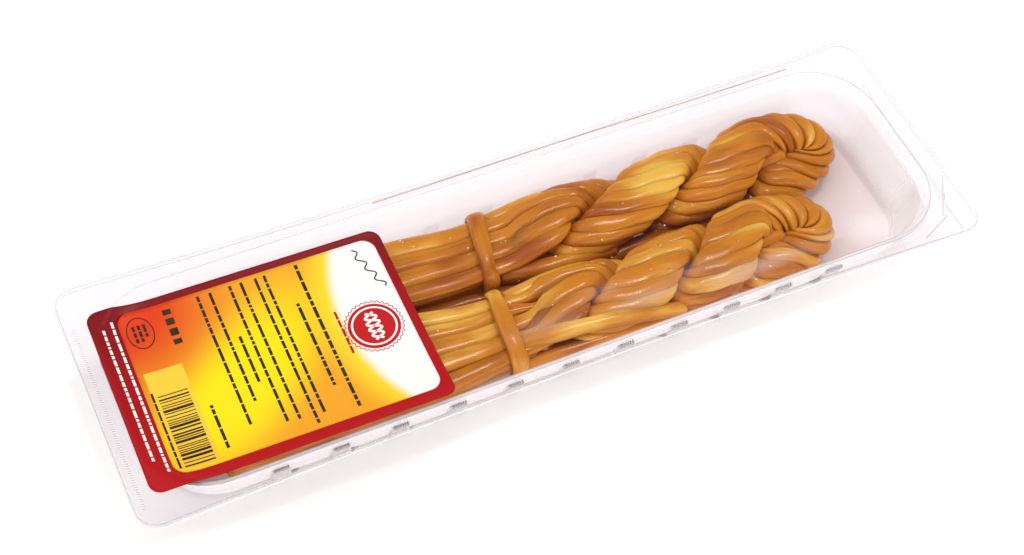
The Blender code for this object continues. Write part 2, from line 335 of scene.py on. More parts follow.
class Nodes:
    """A short way to wire a material's nodes."""

    def __init__(self, name):
        self.material = bpy.data.materials.new(name)
        self.material.use_nodes = True
        self.tree = self.material.node_tree
        self.shader = self.tree.nodes["Principled BSDF"]
        self.output = self.tree.nodes["Material Output"]

    def set(self, **values):
        for key, value in values.items():
            self.put(self.shader, key.replace("_", " "), value)
        return self

    def put(self, node, socket, value):
        target = node.inputs[socket]
        if isinstance(value, bpy.types.NodeSocket):
            self.tree.links.new(value, target)
        else:
            target.default_value = value

    def add(self, kind, inputs=None, **settings):
        node = self.tree.nodes.new("ShaderNode" + kind)
        for key, value in settings.items():
            setattr(node, key, value)
        for socket, value in (inputs or {}).items():
            self.put(node, socket, value)
        return node

    def attribute(self, name):
        return self.add("Attribute", attribute_name=name).outputs["Fac"]

    def math(self, operation, first, second=0.0, third=0.0, clamp=False):
        inputs = {0: first, 1: second, 2: third}
        return self.add("Math", inputs, operation=operation, use_clamp=clamp).outputs[0]

    def vector(self, x, y, z):
        return self.add("CombineXYZ", {0: x, 1: y, 2: z}).outputs[0]

    def noise(self, vector, scale=1.0, detail=3.0, roughness=0.5):
        inputs = {"Vector": vector, "Scale": scale, "Detail": detail, "Roughness": roughness}
        return self.add("TexNoise", inputs).outputs["Fac"]

    def ramp(self, value, *stops):
        """stops are (position, colour) with colours of three numbers or one grey."""
        node = self.add("ValToRGB", {"Fac": value})
        node.color_ramp.interpolation = "EASE"
        elements = node.color_ramp.elements
        while len(elements) < len(stops):
            elements.new(0.5)
        for element, (position, colour) in zip(elements, stops):
            grey = isinstance(colour, (int, float))
            element.position = position
            element.color = (colour, colour, colour, 1.0) if grey else (*colour, 1.0)
        return node.outputs["Color"]

    def mix(self, share, first, second, blend_type="MIX"):
        node = self.add("Mix", data_type="RGBA", blend_type=blend_type)
        self.put(node, "Factor", share)
        for socket, value in (("A", first), ("B", second)):
            target = next(i for i in node.inputs if i.name == socket and i.type == "RGBA")
            if isinstance(value, bpy.types.NodeSocket):
                self.tree.links.new(value, target)
            else:
                target.default_value = (*value, 1.0)
        return next(o for o in node.outputs if o.type == "RGBA")

    def bump(self, height, strength, distance, normal=None):
        inputs = {"Height": height, "Strength": strength, "Distance": distance}
        if normal is not None:
            inputs["Normal"] = normal
        return self.add("Bump", inputs).outputs["Normal"]

    def see_through(self, share, tint):
        """Lets light straight through where share is low and shows the shader where it's high."""
        clear = self.add("BsdfTransparent", {"Color": tint})
        mixed = self.add("MixShader", {0: share, 1: clear.outputs[0], 2: self.shader.outputs[0]})
        self.tree.links.new(mixed.outputs[0], self.output.inputs["Surface"])
        return self


def cheese_material(name, pale, golden, brown, crease_edge, crevice_shade):
    """Smoked cheese: streaks along the strands, pale where it lay covered, with painted shade darkening the creases."""
    nodes = Nodes(name)
    along = nodes.attribute("along")
    around = nodes.attribute("around")
    strand = nodes.attribute("strand")
    warm = nodes.attribute("warm")
    crease = nodes.attribute("crease")
    streaks = nodes.noise(nodes.vector(nodes.math("MULTIPLY", along, 22.0), around, strand), 2.2, 4.0)
    patches = nodes.noise(nodes.vector(nodes.math("MULTIPLY", along, 34.0), nodes.math("MULTIPLY", around, 0.35), strand), 1.0, 2.0)
    fine = nodes.noise(nodes.vector(nodes.math("MULTIPLY", along, 60.0), nodes.math("MULTIPLY", around, 5.0), strand), 3.0, 4.0)
    smoke = nodes.math("MULTIPLY_ADD", patches, 1.8, -0.90)
    smoke = nodes.math("MULTIPLY_ADD", streaks, 0.8, nodes.math("ADD", smoke, -0.40))
    smoke = nodes.math("MULTIPLY_ADD", fine, 0.25, nodes.math("ADD", smoke, -0.125))
    # Each strand's warm value adds its smoke tone; on the low far strand between the braids it is painted shade.
    smoke = nodes.math("ADD", smoke, warm, clamp=True)
    colour = nodes.ramp(smoke, (0.0, pale), (0.45, golden), (1.0, brown))
    # Painted shade in the creases: it turns brown before it turns dark, so pale strands keep warm edges.
    colour = nodes.mix(nodes.math("MULTIPLY", crease, 0.75, clamp=True), colour, crease_edge)
    colour = nodes.mix(nodes.math("MULTIPLY", nodes.math("POWER", crease, 3.0), 0.50, clamp=True), colour, crevice_shade)
    rough = nodes.ramp(streaks, (0.3, 0.24), (0.75, 0.42))
    height = nodes.math("MULTIPLY_ADD", streaks, 1.0, nodes.math("MULTIPLY", fine, 0.35))
    nodes.set(
        Base_Color=colour,
        Roughness=rough,
        Specular_IOR_Level=0.16,
        Subsurface_Weight=0.35,
        Subsurface_Radius=(1.0, 0.36, 0.10),
        Subsurface_Scale=2.4 * MM,
        Coat_Weight=0.24,
        Coat_Roughness=0.14,
        Normal=nodes.bump(height, 0.5, 0.25 * MM),
    )
    return nodes.material


def clear_material(name, tint, through, haze, edge, power, roughness, cloudy=None, deep=None, painted_lug_shade=None):
    """Thin clear plastic: nearly nothing face on, whiter where it's seen at a slant.

    cloudy names an attribute that adds haze. The painted floor shade is the tint given to the light that comes
    through where the tray's floor shade attribute is 1, and the painted lug shade is the plastic's colour where lug is
    1.
    """
    nodes = Nodes(name)
    place = nodes.add("TexCoord").outputs["Object"]
    facing = nodes.add("LayerWeight", {"Blend": 0.5}).outputs["Facing"]
    share = nodes.math("MULTIPLY_ADD", nodes.math("POWER", facing, power), edge, haze)
    drift = nodes.noise(place, 60.0, 3.0)
    share = nodes.math("MULTIPLY_ADD", nodes.math("ADD", drift, -0.5), haze, share)
    if cloudy:
        share = nodes.math("ADD", share, nodes.attribute(cloudy))
    share = nodes.math("ADD", share, 0.0, clamp=True)
    ripples = nodes.noise(place, 90.0, 2.0)
    clear = nodes.mix(nodes.attribute("deep"), through, deep) if deep else (*through, 1.0)
    body = nodes.mix(nodes.attribute("lug"), tint, painted_lug_shade) if painted_lug_shade else (*tint, 1.0)
    nodes.set(
        Base_Color=body,
        Roughness=roughness,
        IOR=1.5,
        Specular_IOR_Level=0.6,
        Normal=nodes.bump(ripples, 0.4, 0.2 * MM),
    )
    return nodes.see_through(share, clear).material


def printed_material(name, colour, second=None, scale=300.0):
    """Satin ink with a faint unevenness."""
    nodes = Nodes(name)
    place = nodes.add("TexCoord").outputs["Object"]
    speckle = nodes.noise(place, scale, 3.0)
    shade = nodes.mix(nodes.ramp(speckle, (0.35, 0.0), (0.7, 1.0)), colour, second or colour)
    nodes.set(
        Base_Color=shade,
        Roughness=nodes.ramp(speckle, (0.3, 0.34), (0.7, 0.46)),
        Specular_IOR_Level=0.12,
        Normal=nodes.bump(nodes.noise(place, 45.0, 2.0), 0.25, 0.2 * MM),
    )
    return nodes.material


def border_material():
    """The label's red border: brighter at the near edge, crimson along the far edge."""
    nodes = Nodes("border_red")
    across = nodes.attribute("across")
    place = nodes.add("TexCoord").outputs["Object"]
    drift = nodes.noise(place, 70.0, 3.0)
    where = nodes.math("MULTIPLY_ADD", drift, 0.12, nodes.math("ADD", across, -0.06), clamp=True)
    colour = nodes.ramp(where, (0.0, (0.47, 0.007, 0.009)), (0.55, (0.36, 0.006, 0.009)), (1.0, (0.21, 0.004, 0.008)))
    nodes.set(
        Base_Color=colour,
        Roughness=nodes.ramp(drift, (0.3, 0.3), (0.7, 0.42)),
        Specular_IOR_Level=0.12,
        Normal=nodes.bump(nodes.noise(place, 40.0, 2.0), 0.25, 0.25 * MM),
    )
    return nodes.material


def field_material():
    """The label's field: orange-red corner, amber, a yellow middle and a white end."""
    nodes = Nodes("field_print")
    across = nodes.attribute("across")
    along = nodes.attribute("along")
    place = nodes.add("TexCoord").outputs["Object"]

    def glow(u, v, reach_u, reach_v, lean=0.0):
        """1 at a point of the label, easing to 0 at the given reaches, leaning along with across."""
        off_v = nodes.math("SUBTRACT", across, v)
        off_u = nodes.math("MULTIPLY_ADD", off_v, -lean, nodes.math("SUBTRACT", along, u))
        du = nodes.math("DIVIDE", off_u, reach_u)
        dv = nodes.math("DIVIDE", off_v, reach_v)
        square = nodes.math("ADD", nodes.math("MULTIPLY", du, du), nodes.math("MULTIPLY", dv, dv))
        return nodes.math("SUBTRACT", 1.0, nodes.math("SQRT", square), clamp=True)

    amber = (0.88, 0.37, 0.020)
    yellow = (0.93, 0.75, 0.006)
    orange = (0.74, 0.050, 0.008)
    colour = nodes.mix(nodes.ramp(glow(0.39, 0.43, 0.34, 0.58, lean=0.5), (0.0, 0.0), (0.70, 1.0)), amber, yellow)
    colour = nodes.mix(nodes.ramp(glow(0.10, 1.0, 0.45, 0.62), (0.0, 0.0), (0.75, 1.0)), colour, orange)
    # The white end starts past a curve that leans towards the near side.
    off = nodes.math("SUBTRACT", across, 0.57)
    bend = nodes.math("MULTIPLY_ADD", nodes.math("MULTIPLY", off, off), 0.40, 0.735)
    past = nodes.math("SUBTRACT", along, bend)
    colour = nodes.mix(nodes.ramp(nodes.math("ADD", past, 0.10), (0.0, 0.0), (0.12, 0.85)), colour, (0.93, 0.72, 0.030))
    colour = nodes.mix(nodes.ramp(past, (0.0, 0.0), (0.050, 1.0)), colour, (0.93, 0.92, 0.88))
    speckle = nodes.noise(place, 400.0, 2.0)
    nodes.set(
        Base_Color=colour,
        Roughness=nodes.ramp(speckle, (0.3, 0.34), (0.7, 0.44)),
        Specular_IOR_Level=0.12,
        Normal=nodes.bump(nodes.noise(place, 45.0, 2.0), 0.25, 0.25 * MM),
    )
    return nodes.material


# ---------------------------------------------------------------- braids


def twist_travel(braid, x):
    """Half turns made from the tails to x: they start softly and lag where the second ply lies long."""
    start = braid.first_crossing_x - braid.half_pitch / 2
    run = x - start + TWIST_RAMP / 2
    eased = run * run / (2 * TWIST_RAMP * braid.half_pitch)
    straight = (x - start) / braid.half_pitch
    even = np.where(run <= 0, 0.0, np.where(run < TWIST_RAMP, eased, straight))
    lag_x = braid.first_crossing_x + 1.2 * braid.half_pitch
    return even - braid.lag * np.exp(-(((x - lag_x) / LAG_REACH) ** 2))


def axis_at(braid, x):
    into_loop = smoothstep(x, twist_end(braid) - 30 * MM, twist_end(braid))
    before_tie = smoothstep(x, braid.tie_x - 30 * MM, braid.tie_x)
    axis_y = blend(braid.tail_axis_y, braid.axis_y, before_tie)
    return blend(axis_y, braid.loop_axis_y, into_loop)


def press(braid, grid):
    """Flattens the two plies against each other, as in the part: each spreads where they touch."""
    x, y, z = grid[..., 0], grid[..., 1], grid[..., 2]
    turn = math.pi * twist_travel(braid, np.minimum(x, twist_end(braid)))
    off = y - axis_at(braid, x)
    away = off * np.cos(turn) - z * np.sin(turn)
    beside = off * np.sin(turn) + z * np.cos(turn)
    reach = 2 * ply_size(braid, x)[0]
    by_tie = PRESS_BY_TIE * np.exp(-(((x - braid.first_crossing_x) / PRESS_REACH) ** 2))
    pressed = smoothstep(x, braid.tie_x, braid.first_crossing_x) * (1.0 + by_tie)
    pressed *= 1.0 - smoothstep(x, twist_end(braid) - 12 * MM, twist_end(braid) + 2 * MM)
    beside = beside * (1.0 + pressed * PRESS_MIDDLE * np.clip(1.0 - np.abs(away) / reach, 0.0, 1.0))
    grid[..., 1] = y - off + away * np.cos(turn) + beside * np.sin(turn)
    grid[..., 2] = beside * np.cos(turn) - away * np.sin(turn)
    return grid


def twist_end(braid):
    last_crossing = braid.first_crossing_x + 2 * braid.half_pitch
    return last_crossing + braid.half_pitch * braid.loop_phase / math.pi


def ply_size(braid, x):
    before_tie = smoothstep(x, braid.tie_x - 30 * MM, braid.tie_x)
    after_tie = smoothstep(x, braid.tie_x, braid.tie_x + 30 * MM)
    radius = blend(braid.tail_radius, braid.tie_radius, before_tie)
    radius = blend(radius, braid.ply_radius, after_tie)
    into_loop = smoothstep(x, twist_end(braid) - 16 * MM, twist_end(braid))
    spread = blend(radius + GAP / 2, braid.loop_spread, into_loop)
    return blend(radius, braid.loop_radius, into_loop), spread


def twisted_points(braid, x, start_angle):
    radius, spread = ply_size(braid, x)
    angle = start_angle - math.pi * twist_travel(braid, x)
    points = np.stack([x, axis_at(braid, x) + spread * np.cos(angle), spread * np.sin(angle)], axis=1)
    return points, radius


def unit(vectors):
    return vectors / np.linalg.norm(vectors, axis=-1, keepdims=True)


class Skein:
    """The centre line of a braid's skein, there and back round the loop, as in the part."""

    def __init__(self, braid):
        end_x = twist_end(braid)
        steps = int((end_x - braid.tail_x) / PATH_STEP)
        xs = np.linspace(braid.tail_x, end_x, steps + 1)
        out, out_radius = twisted_points(braid, xs, math.pi)
        back, back_radius = twisted_points(braid, xs[::-1], 0.0)
        turn_steps = int(math.pi * braid.loop_reach / PATH_STEP)
        angles = math.pi * np.arange(1, turn_steps) / turn_steps
        share = ((1.0 - np.cos(angles)) / 2)[:, None]
        turn = out[-1] + (back[0] - out[-1]) * share
        turn[:, 0] += braid.loop_reach * np.sin(angles)
        points = np.vstack([out, turn, back])
        for _ in range(PATH_SMOOTHING):
            points[1:-1] = (points[:-2] + points[1:-1] * 2 + points[2:]) / 4
        self.points = points
        self.radius = np.concatenate([out_radius, np.full(len(turn), braid.loop_radius), back_radius])
        into_twist = smoothstep(points[:, 0], braid.tie_x, braid.first_crossing_x)
        self.into_loop = smoothstep(points[:, 0], end_x - 1 * MM, end_x + 9 * MM)
        twist = blend(BRAID_TWIST * into_twist, LOOP_TWIST, self.into_loop)
        steps = np.linalg.norm(np.diff(points, axis=0, prepend=points[:1]), axis=1)
        self.angle = np.cumsum(twist * steps)
        self.travel = np.cumsum(steps)
        ahead = np.vstack([points[1:], points[-1:]])
        behind = np.vstack([points[:1], points[:-1]])
        self.along = unit(ahead - behind)
        self.side = unit(np.cross((0.0, 0.0, 1.0), self.along))
        self.up = np.cross(self.along, self.side)
        self.halves = (slice(0, len(points) // 2), slice(len(points) // 2, len(points)))


def strand_shares(rng):
    """Uneven shares of the skein's girth, one for each strand, adding up to 1."""
    widths = np.array([rng.uniform(0.8, 1.25) for _ in range(STRANDS)])
    return widths / widths.sum()


def bundle_rows(braid, ring_slots):
    """Places the 14 tails in three flat rows, each keeping near the side that it comes from.

    ring_slots holds the tails' (y, z) at the tie. Returns for each (y share, z share, width share),
    with y from -1 to 1 across the bundle.
    """
    by_height = sorted(range(len(ring_slots)), key=lambda i: -ring_slots[i][1])
    top_count = len(braid.top_row)
    rest = len(ring_slots) - top_count
    rows = (by_height[:top_count], by_height[top_count : top_count + rest // 2], by_height[top_count + rest // 2 :])
    slots = [None] * len(ring_slots)
    for row, height in zip(rows, (0.60, 0.0, -0.60)):
        ordered = sorted(row, key=lambda i: ring_slots[i][0])
        widths = np.array(braid.top_row if height > 0 else [1.0] * len(row))
        edges = np.concatenate([[0.0], np.cumsum(widths)]) / widths.sum() * 2 - 1
        for place, i in enumerate(ordered):
            middle = (edges[place] + edges[place + 1]) / 2
            slots[i] = (middle, height, (edges[place + 1] - edges[place]) / 2)
    return slots


def section_outline():
    """(radial, sideways) of a strand's rounded outline, with the angle of each point."""
    angle = 2 * math.pi * np.arange(STRAND_SIDES) / STRAND_SIDES
    power = 2 / STRAND_ROUNDNESS
    radial = np.sign(np.cos(angle)) * np.abs(np.cos(angle)) ** power
    sideways = np.sign(np.sin(angle)) * np.abs(np.sin(angle)) ** power
    return radial, sideways, np.where(angle > math.pi, angle - 2 * math.pi, angle) / math.pi


def end_taper(travel):
    """Rounds off both ends of a strand."""
    ends = np.minimum(travel - travel[0], travel[-1] - travel) / (1.8 * MM)
    return np.sqrt(np.clip(1.0 - (1.0 - np.clip(ends, 0.02, 1.0)) ** 2, 0.0, 1.0))


def ring_section(skein, angle, half_angle, half_height, reach):
    """A strand's outline bent round its ply: reach is the distance of its middle from the ply's."""
    radial, sideways, _ = section_outline()
    turn = angle[:, None] + half_angle[:, None] * sideways
    radius = reach[:, None] + half_height[:, None] * radial
    side = skein.side[:, None, :] * (radius * np.cos(turn))[..., None]
    up = skein.up[:, None, :] * (radius * np.sin(turn))[..., None]
    return skein.points[:, None, :] + side + up


def flat_section(centre, outward, along, half_width, half_height):
    """A strand's plain outline round its own middle."""
    radial, sideways, _ = section_outline()
    sideways_axis = unit(np.cross(along, outward))
    outward = unit(np.cross(sideways_axis, along))
    grid = centre[:, None, :] + outward[:, None, :] * (radial * half_height[:, None])[..., None]
    return grid + sideways_axis[:, None, :] * (sideways * half_width[:, None])[..., None]


def settle(grid):
    """Presses points flat, as the floor and the lid film press the braid."""
    grid[..., 2] = MIDDLE_HEIGHT + squash(grid[..., 2])
    return grid


def add_strand(maker, grid, travel, number, warm, crease_depth):
    """Adds one strand's outlines as a tube closed at both ends."""
    _, _, around = section_outline()
    index = maker.add_grid(
        grid,
        closed=True,
        along=travel[:, None],
        around=around[None, :],
        strand=float(number) * 7.3,
        warm=warm,
        # Painted shade: the strand's sides darken towards the creases between strands.
        crease=smoothstep(np.abs(around), 0.20, 0.52)[None, :] * crease_depth,
    )
    maker.add_face(index[0][::-1])
    maker.add_face(index[-1])


def smooth_route(stops):
    """An even, rounded line through a few points given in mm."""
    stops = np.array(stops, float) * MM
    reach = np.concatenate([[0.0], np.cumsum(np.linalg.norm(np.diff(stops, axis=0), axis=1))])
    even = np.linspace(0.0, reach[-1], int(reach[-1] / (0.8 * MM)) + 1)
    route = np.stack([np.interp(even, reach, stops[:, axis]) for axis in range(3)], axis=1)
    for _ in range(40):
        route[1:-1] = (route[:-2] + route[1:-1] * 2 + route[2:]) / 4
    return route, even


def add_loose_strands(maker, braid, rng):
    """Strands that left their ply or lie low beside it."""
    for number, (stops, half_width, half_height, warm) in enumerate(LOOSE_STRANDS[braid.name]):
        route, travel = smooth_route(stops)
        along = unit(np.gradient(route, axis=0))
        upright = np.broadcast_to(np.array((0.0, 0.0, 1.0)), route.shape)
        taper = end_taper(travel)
        width = half_width * MM * taper * (1 + wander(rng, travel, 26 * MM, 0.10))
        height = half_height * MM * taper * (1 + wander(rng, travel, 31 * MM, 0.08))
        grid = flat_section(route, upright, along, width, height)
        # warm carries each loose strand's smoke tone, and painted shade for the low far strand.
        warmth = warm + wander(rng, travel, 24 * MM, 0.12)[:, None]
        add_strand(maker, grid, travel, STRANDS + 3 + number, warmth, 0.6)


def pinch(braid, x):
    return np.exp(-(((x - braid.tie_x) / (6.5 * MM)) ** 2))


# Where the smoke left the cheese paler (below 0) or browner: x, y, reach along, reach across, all
# in mm, and how much.
SMOKE_PATCHES = (
    (50.0, 16.0, 12.0, 9.0, -0.68),
    (36.0, 8.0, 8.0, 3.0, 0.30),
    (30.0, 20.0, 10.0, 8.0, 0.20),
    (80.0, 20.0, 8.0, 3.0, -0.30),
    (74.0, 6.0, 12.0, 6.0, 0.26),
    (103.0, 14.0, 6.0, 6.0, -0.22),
    (86.0, 20.0, 5.0, 8.0, 0.15),
    (-18.0, 14.0, 10.0, 8.0, 0.15),
    (-30.0, 22.0, 12.0, 3.0, -0.25),
    (-4.0, 26.0, 10.0, 4.0, -0.20),
    (-32.0, -5.0, 12.0, 3.0, -0.35),
    (-24.0, -14.0, 14.0, 5.0, -0.15),
    (-26.0, -24.0, 22.0, 3.0, 0.10),
    (36.0, -14.0, 8.0, 6.0, -0.12),
    (62.0, -16.0, 8.0, 6.0, -0.15),
    (84.0, -22.0, 8.0, 4.0, -0.22),
)


def braid_warmth(braid, x, y):
    """How dark the smoke has left the cheese, from 0 pale to 1 brown, before the streaks."""
    warmth = np.full_like(x, 0.60 if braid.name == "far" else 0.46)
    for middle_x, middle_y, along, across, amount in SMOKE_PATCHES:
        off = ((x / MM - middle_x) / along) ** 2 + ((y / MM - middle_y) / across) ** 2
        warmth += amount * np.exp(-off)
    return warmth


def loop_shares(rng, shares):
    """In the loop some strands swell and the others sink between them."""
    proud = np.array([1.0, 0.04, 1.0, 0.50, 1.0, 0.90, 0.04])
    proud *= np.array([rng.uniform(0.9, 1.15) for _ in range(STRANDS)])
    return proud / proud.sum()


def build_braid(braid, material):
    rng = random.Random(braid.seed)
    skein = Skein(braid)
    points, radius, x, travel = skein.points, skein.radius, skein.points[:, 0], skein.travel
    shares = strand_shares(rng)
    swollen = loop_shares(rng, shares)
    share_at = shares + (swollen - shares) * skein.into_loop[:, None]
    crest_at = 2 * math.pi * (np.cumsum(share_at, axis=1) - share_at / 2)

    # Where the tails fan out into the first ply, each keeps the place it has there.
    fan_x = braid.first_crossing_x + 6 * MM
    ring_slots = []
    for half in skein.halves:
        at = int(np.argmin(np.abs(x[half] - fan_x))) + half.start
        angles = skein.angle[at] + crest_at[at]
        ys = points[at, 1] + skein.side[at, 1] * radius[at] * np.cos(angles)
        zs = points[at, 2] + radius[at] * np.sin(angles)
        ring_slots += list(zip(ys, zs))
    slots = bundle_rows(braid, ring_slots)

    # The ply that comes out on top keeps its strands side by side for longer.
    fan_end = np.full(len(x), braid.first_crossing_x + 9 * MM)
    fan_end[skein.halves[0]] += 9 * MM
    bundled = 1.0 - smoothstep(x, braid.tie_x + 4 * MM, fan_end)
    axis_y = axis_at(braid, x)
    bundle_half = 2 * radius * (1.0 - 0.08 * smoothstep(x, braid.tie_x, braid.first_crossing_x + 10 * MM))
    bundle_height = radius * (1.0 + 0.30 * pinch(braid, x))
    bundle_height *= 1.0 + 0.45 * smoothstep(x, braid.tie_x, braid.first_crossing_x + 6 * MM)
    maker = MeshMaker()
    keep = slice(0, len(x), 2)
    for number in range(STRANDS):
        share = share_at[:, number]
        sunk = smoothstep(share, 0.09, 0.02)
        angle = skein.angle + crest_at[:, number] + wander(rng, travel, 60 * MM, 0.10)
        half_height = radius * blend(0.34, 0.46, skein.into_loop) * (1 + wander(rng, travel, 45 * MM, 0.06))
        lift = wander(rng, travel, 38 * MM, 0.35 * MM) - sunk * 0.25 * radius
        reach = radius - half_height + lift
        overlap = blend(1.20, 1.04, skein.into_loop)
        half_angle = math.pi * share * overlap * (1 + wander(rng, travel, 52 * MM, 0.07))
        grid = press(braid, ring_section(skein, angle, half_angle, half_height, reach))
        outward = skein.side * np.cos(angle)[:, None] + skein.up * np.sin(angle)[:, None]
        for half, slot in zip(skein.halves, (slots[number], slots[number + STRANDS])):
            place, height, width = slot
            sway = wander(rng, travel[half], 70 * MM, 0.05)
            rise = height * math.sqrt(1 - (0.75 * place) ** 2)
            flat = np.stack([
                x[half],
                axis_y[half] + bundle_half[half] * (place + sway) * 0.94,
                bundle_height[half] * rise,
            ], axis=1)
            tilt = 1.0 if height >= 0 else -1.0
            share_flat = bundled[half][:, None]
            facing = blend(outward[half], np.array((0.0, 0.35 * place, tilt)), share_flat * 0.98)
            flat_width = bundle_half[half] * width * 1.12
            flat_height = bundle_height[half] * 0.40
            flat_grid = flat_section(flat, unit(facing), skein.along[half], flat_width, flat_height)
            grid[half] = blend(grid[half], flat_grid, share_flat[..., None])
        taper = end_taper(travel)[:, None, None]
        middle = grid.mean(axis=1, keepdims=True)
        grid = middle + (grid - middle) * taper
        # How strongly painted shade darkens this strand's creases, varying along it.
        depth = 0.75 + wander(rng, travel, 30 * MM, 0.25)[:, None]
        warm = braid_warmth(braid, grid[..., 0], grid[..., 1])
        add_strand(maker, settle(grid[keep]), travel[keep], number, warm[keep], depth[keep])
    # One short strand closes the crook of the loop.
    along = np.linspace(-7 * MM, 6.5 * MM, 28)
    crook = np.zeros((len(along), 3))
    crook[:, 0] = twist_end(braid) + along
    crook[:, 1] = braid.loop_axis_y
    swell = 4.4 * MM * end_taper(along)
    towards_x = np.broadcast_to(np.array((1.0, 0.0, 0.0)), crook.shape)
    upright = np.broadcast_to(np.array((0.0, 0.0, 1.0)), crook.shape)
    grid = flat_section(crook, upright, towards_x, swell * 0.75, swell)
    add_strand(maker, settle(grid), along, STRANDS + 1, 0.85, 0.4)
    add_loose_strands(maker, braid, rng)
    # A plain core keeps the middle of each ply closed where strands part.
    keep = slice(0, len(x), 4)
    core = radius * blend(0.55, 0.68, skein.into_loop) * (1 - 0.4 * bundled)
    core = core * end_taper(travel)
    grid = press(braid, flat_section(points, skein.up, skein.along, core, core))
    add_strand(maker, settle(grid[keep]), travel[keep], STRANDS, 0.9, 1.0)
    piece = maker.build(f"braid_{braid.name}_strands", material)
    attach(piece, "root")
    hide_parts(f"braid_{braid.name}")
    return piece


def build_tie(braid, material):
    """One strand round the bundle: a rounded oblong path, bulging and leaning a little."""
    rng = random.Random(braid.seed + 40)
    outer_y = 2 * braid.tie_radius + TIE_CLEARANCE + CAD_TIE_THICKNESS
    outer_z = float(squash(TIE_ROOM * braid.tie_radius)) + TIE_CLEARANCE + CAD_TIE_THICKNESS
    half_y = outer_y - TIE_THICKNESS / 2
    half_z = outer_z - TIE_THICKNESS / 2
    turn = np.linspace(0.0, 2 * math.pi, 121)[:-1]
    across = np.sign(np.cos(turn)) * np.abs(np.cos(turn)) ** TIE_SQUARENESS
    upright = np.sign(np.sin(turn)) * np.abs(np.sin(turn)) ** TIE_SQUARENESS
    path = np.stack([
        braid.tie_x + braid.tie_lean * across + 0.35 * MM * np.sin(2 * turn + 1.0),
        braid.axis_y + half_y * across,
        MIDDLE_HEIGHT + half_z * upright,
    ], axis=1)
    for _ in range(3):
        path = (np.roll(path, 1, axis=0) + path * 2 + np.roll(path, -1, axis=0)) / 4
    along = unit(np.roll(path, -1, axis=0) - np.roll(path, 1, axis=0))
    outward = path - np.array((braid.tie_x, braid.axis_y, MIDDLE_HEIGHT))
    outward[:, 1] *= half_z / half_y
    outward[:, 0] = 0.0
    side = unit(np.cross(along, unit(outward)))
    outward = np.cross(side, along)
    radial, sideways, around = section_outline()
    half_width = TIE_WIDTH / 2 * (1 + 0.10 * np.sin(2 * turn + rng.uniform(0, 6)) + 0.06 * np.sin(5 * turn))
    half_height = TIE_THICKNESS / 2 * (1 + 0.08 * np.sin(3 * turn + rng.uniform(0, 6)))
    grid = path[:, None, :]
    grid = grid + outward[:, None, :] * (radial[None, :] * half_height[:, None])[..., None]
    grid = grid + side[:, None, :] * (sideways[None, :] * half_width[:, None])[..., None]
    grid = np.concatenate([grid, grid[:1]])
    travel = np.linspace(0.0, 0.07, len(grid))
    maker = MeshMaker()
    maker.add_grid(
        grid,
        closed=True,
        along=travel[:, None],
        around=around[None, :],
        strand=braid.seed * 5.0,
        warm=0.74 if braid.name == "far" else 0.38,
        # Painted shade darkening the tie's sides.
        crease=smoothstep(np.abs(around), 0.3, 0.6)[None, :],
    )
    piece = maker.build(f"tie_{braid.name}_strand", material)
    weld(piece)
    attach(piece, "root")
    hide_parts(f"tie_{braid.name}")
    return piece


def weld(piece):
    join = piece.modifiers.new("join", "WELD")
    join.merge_threshold = 0.002 * MM
    return apply_modifiers(piece)


# ---------------------------------------------------------------- tray, film and label


def rounded_outline(length, width, corner, side_stops, corner_steps, bow=0.0):
    """Points of a rounded rectangle as an array, anticlockwise from the -X end of its -Y side."""
    half_x = length / 2 - corner
    half_y = width / 2 - corner
    near_side = [(x, -width / 2 + bow * (1 - (x / half_x) ** 2)) for x in side_stops]
    far_side = [(x, -y) for x, y in reversed(near_side)]
    corners = []
    for centre_x, centre_y, start in (
        (half_x, -half_y, -math.pi / 2),
        (half_x, half_y, 0.0),
        (-half_x, half_y, math.pi / 2),
        (-half_x, -half_y, math.pi),
    ):
        turns = [start + math.pi / 2 * i / corner_steps for i in range(corner_steps + 1)]
        corners.append([(centre_x + corner * math.cos(a), centre_y + corner * math.sin(a)) for a in turns])
    return np.array(near_side + corners[0] + corners[1] + far_side + corners[2] + corners[3])


def lug_centres():
    return [LUG_FIRST_X + LUG_PITCH * i for i in range(LUG_COUNT)]


def tray_stops():
    """x positions along the long sides: close together at the lugs, wider between them."""
    offsets = np.linspace(-0.5, 0.5, 2 * LUG_TEETH + 1) * LUG_WIDTH
    stops = []
    for centre in lug_centres():
        stops += [centre - LUG_WIDTH / 2 - 0.5 * MM]
        stops += [centre + offset for offset in offsets]
        stops += [centre + LUG_WIDTH / 2 + 0.5 * MM, centre + LUG_PITCH / 2]
    return stops[:-1]


def lug_share(x):
    """1 on a lug, 0 off it, with the height of its toothed top."""
    for centre in lug_centres():
        off = abs(x - centre)
        if off <= LUG_WIDTH / 2 + 1e-6:
            tooth = round((x - centre + LUG_WIDTH / 2) / (LUG_WIDTH / (2 * LUG_TEETH)))
            return 1.0, LUG_TOOTH * (tooth % 2)
    return 0.0, 0.0


def wall_profile():
    """(share of the way from the floor's outline to the step's, height) with a rounded foot."""
    rows = []
    for i in range(5):
        angle = math.pi / 2 * i / 4
        rows.append((-(1 - math.sin(angle)) * FLOOR_FILLET, SHEET + FLOOR_FILLET * (1 - math.cos(angle))))
    return rows


def tray_ring(height, stops):
    share = (height - SHEET) / (RIM_HEIGHT - STEP_DEPTH - SHEET)
    return rounded_outline(
        blend(FLOOR_LENGTH, STEP_LENGTH, share),
        blend(FLOOR_WIDTH, STEP_WIDTH, share),
        blend(FLOOR_CORNER, STEP_CORNER, share),
        stops, 10,
    )


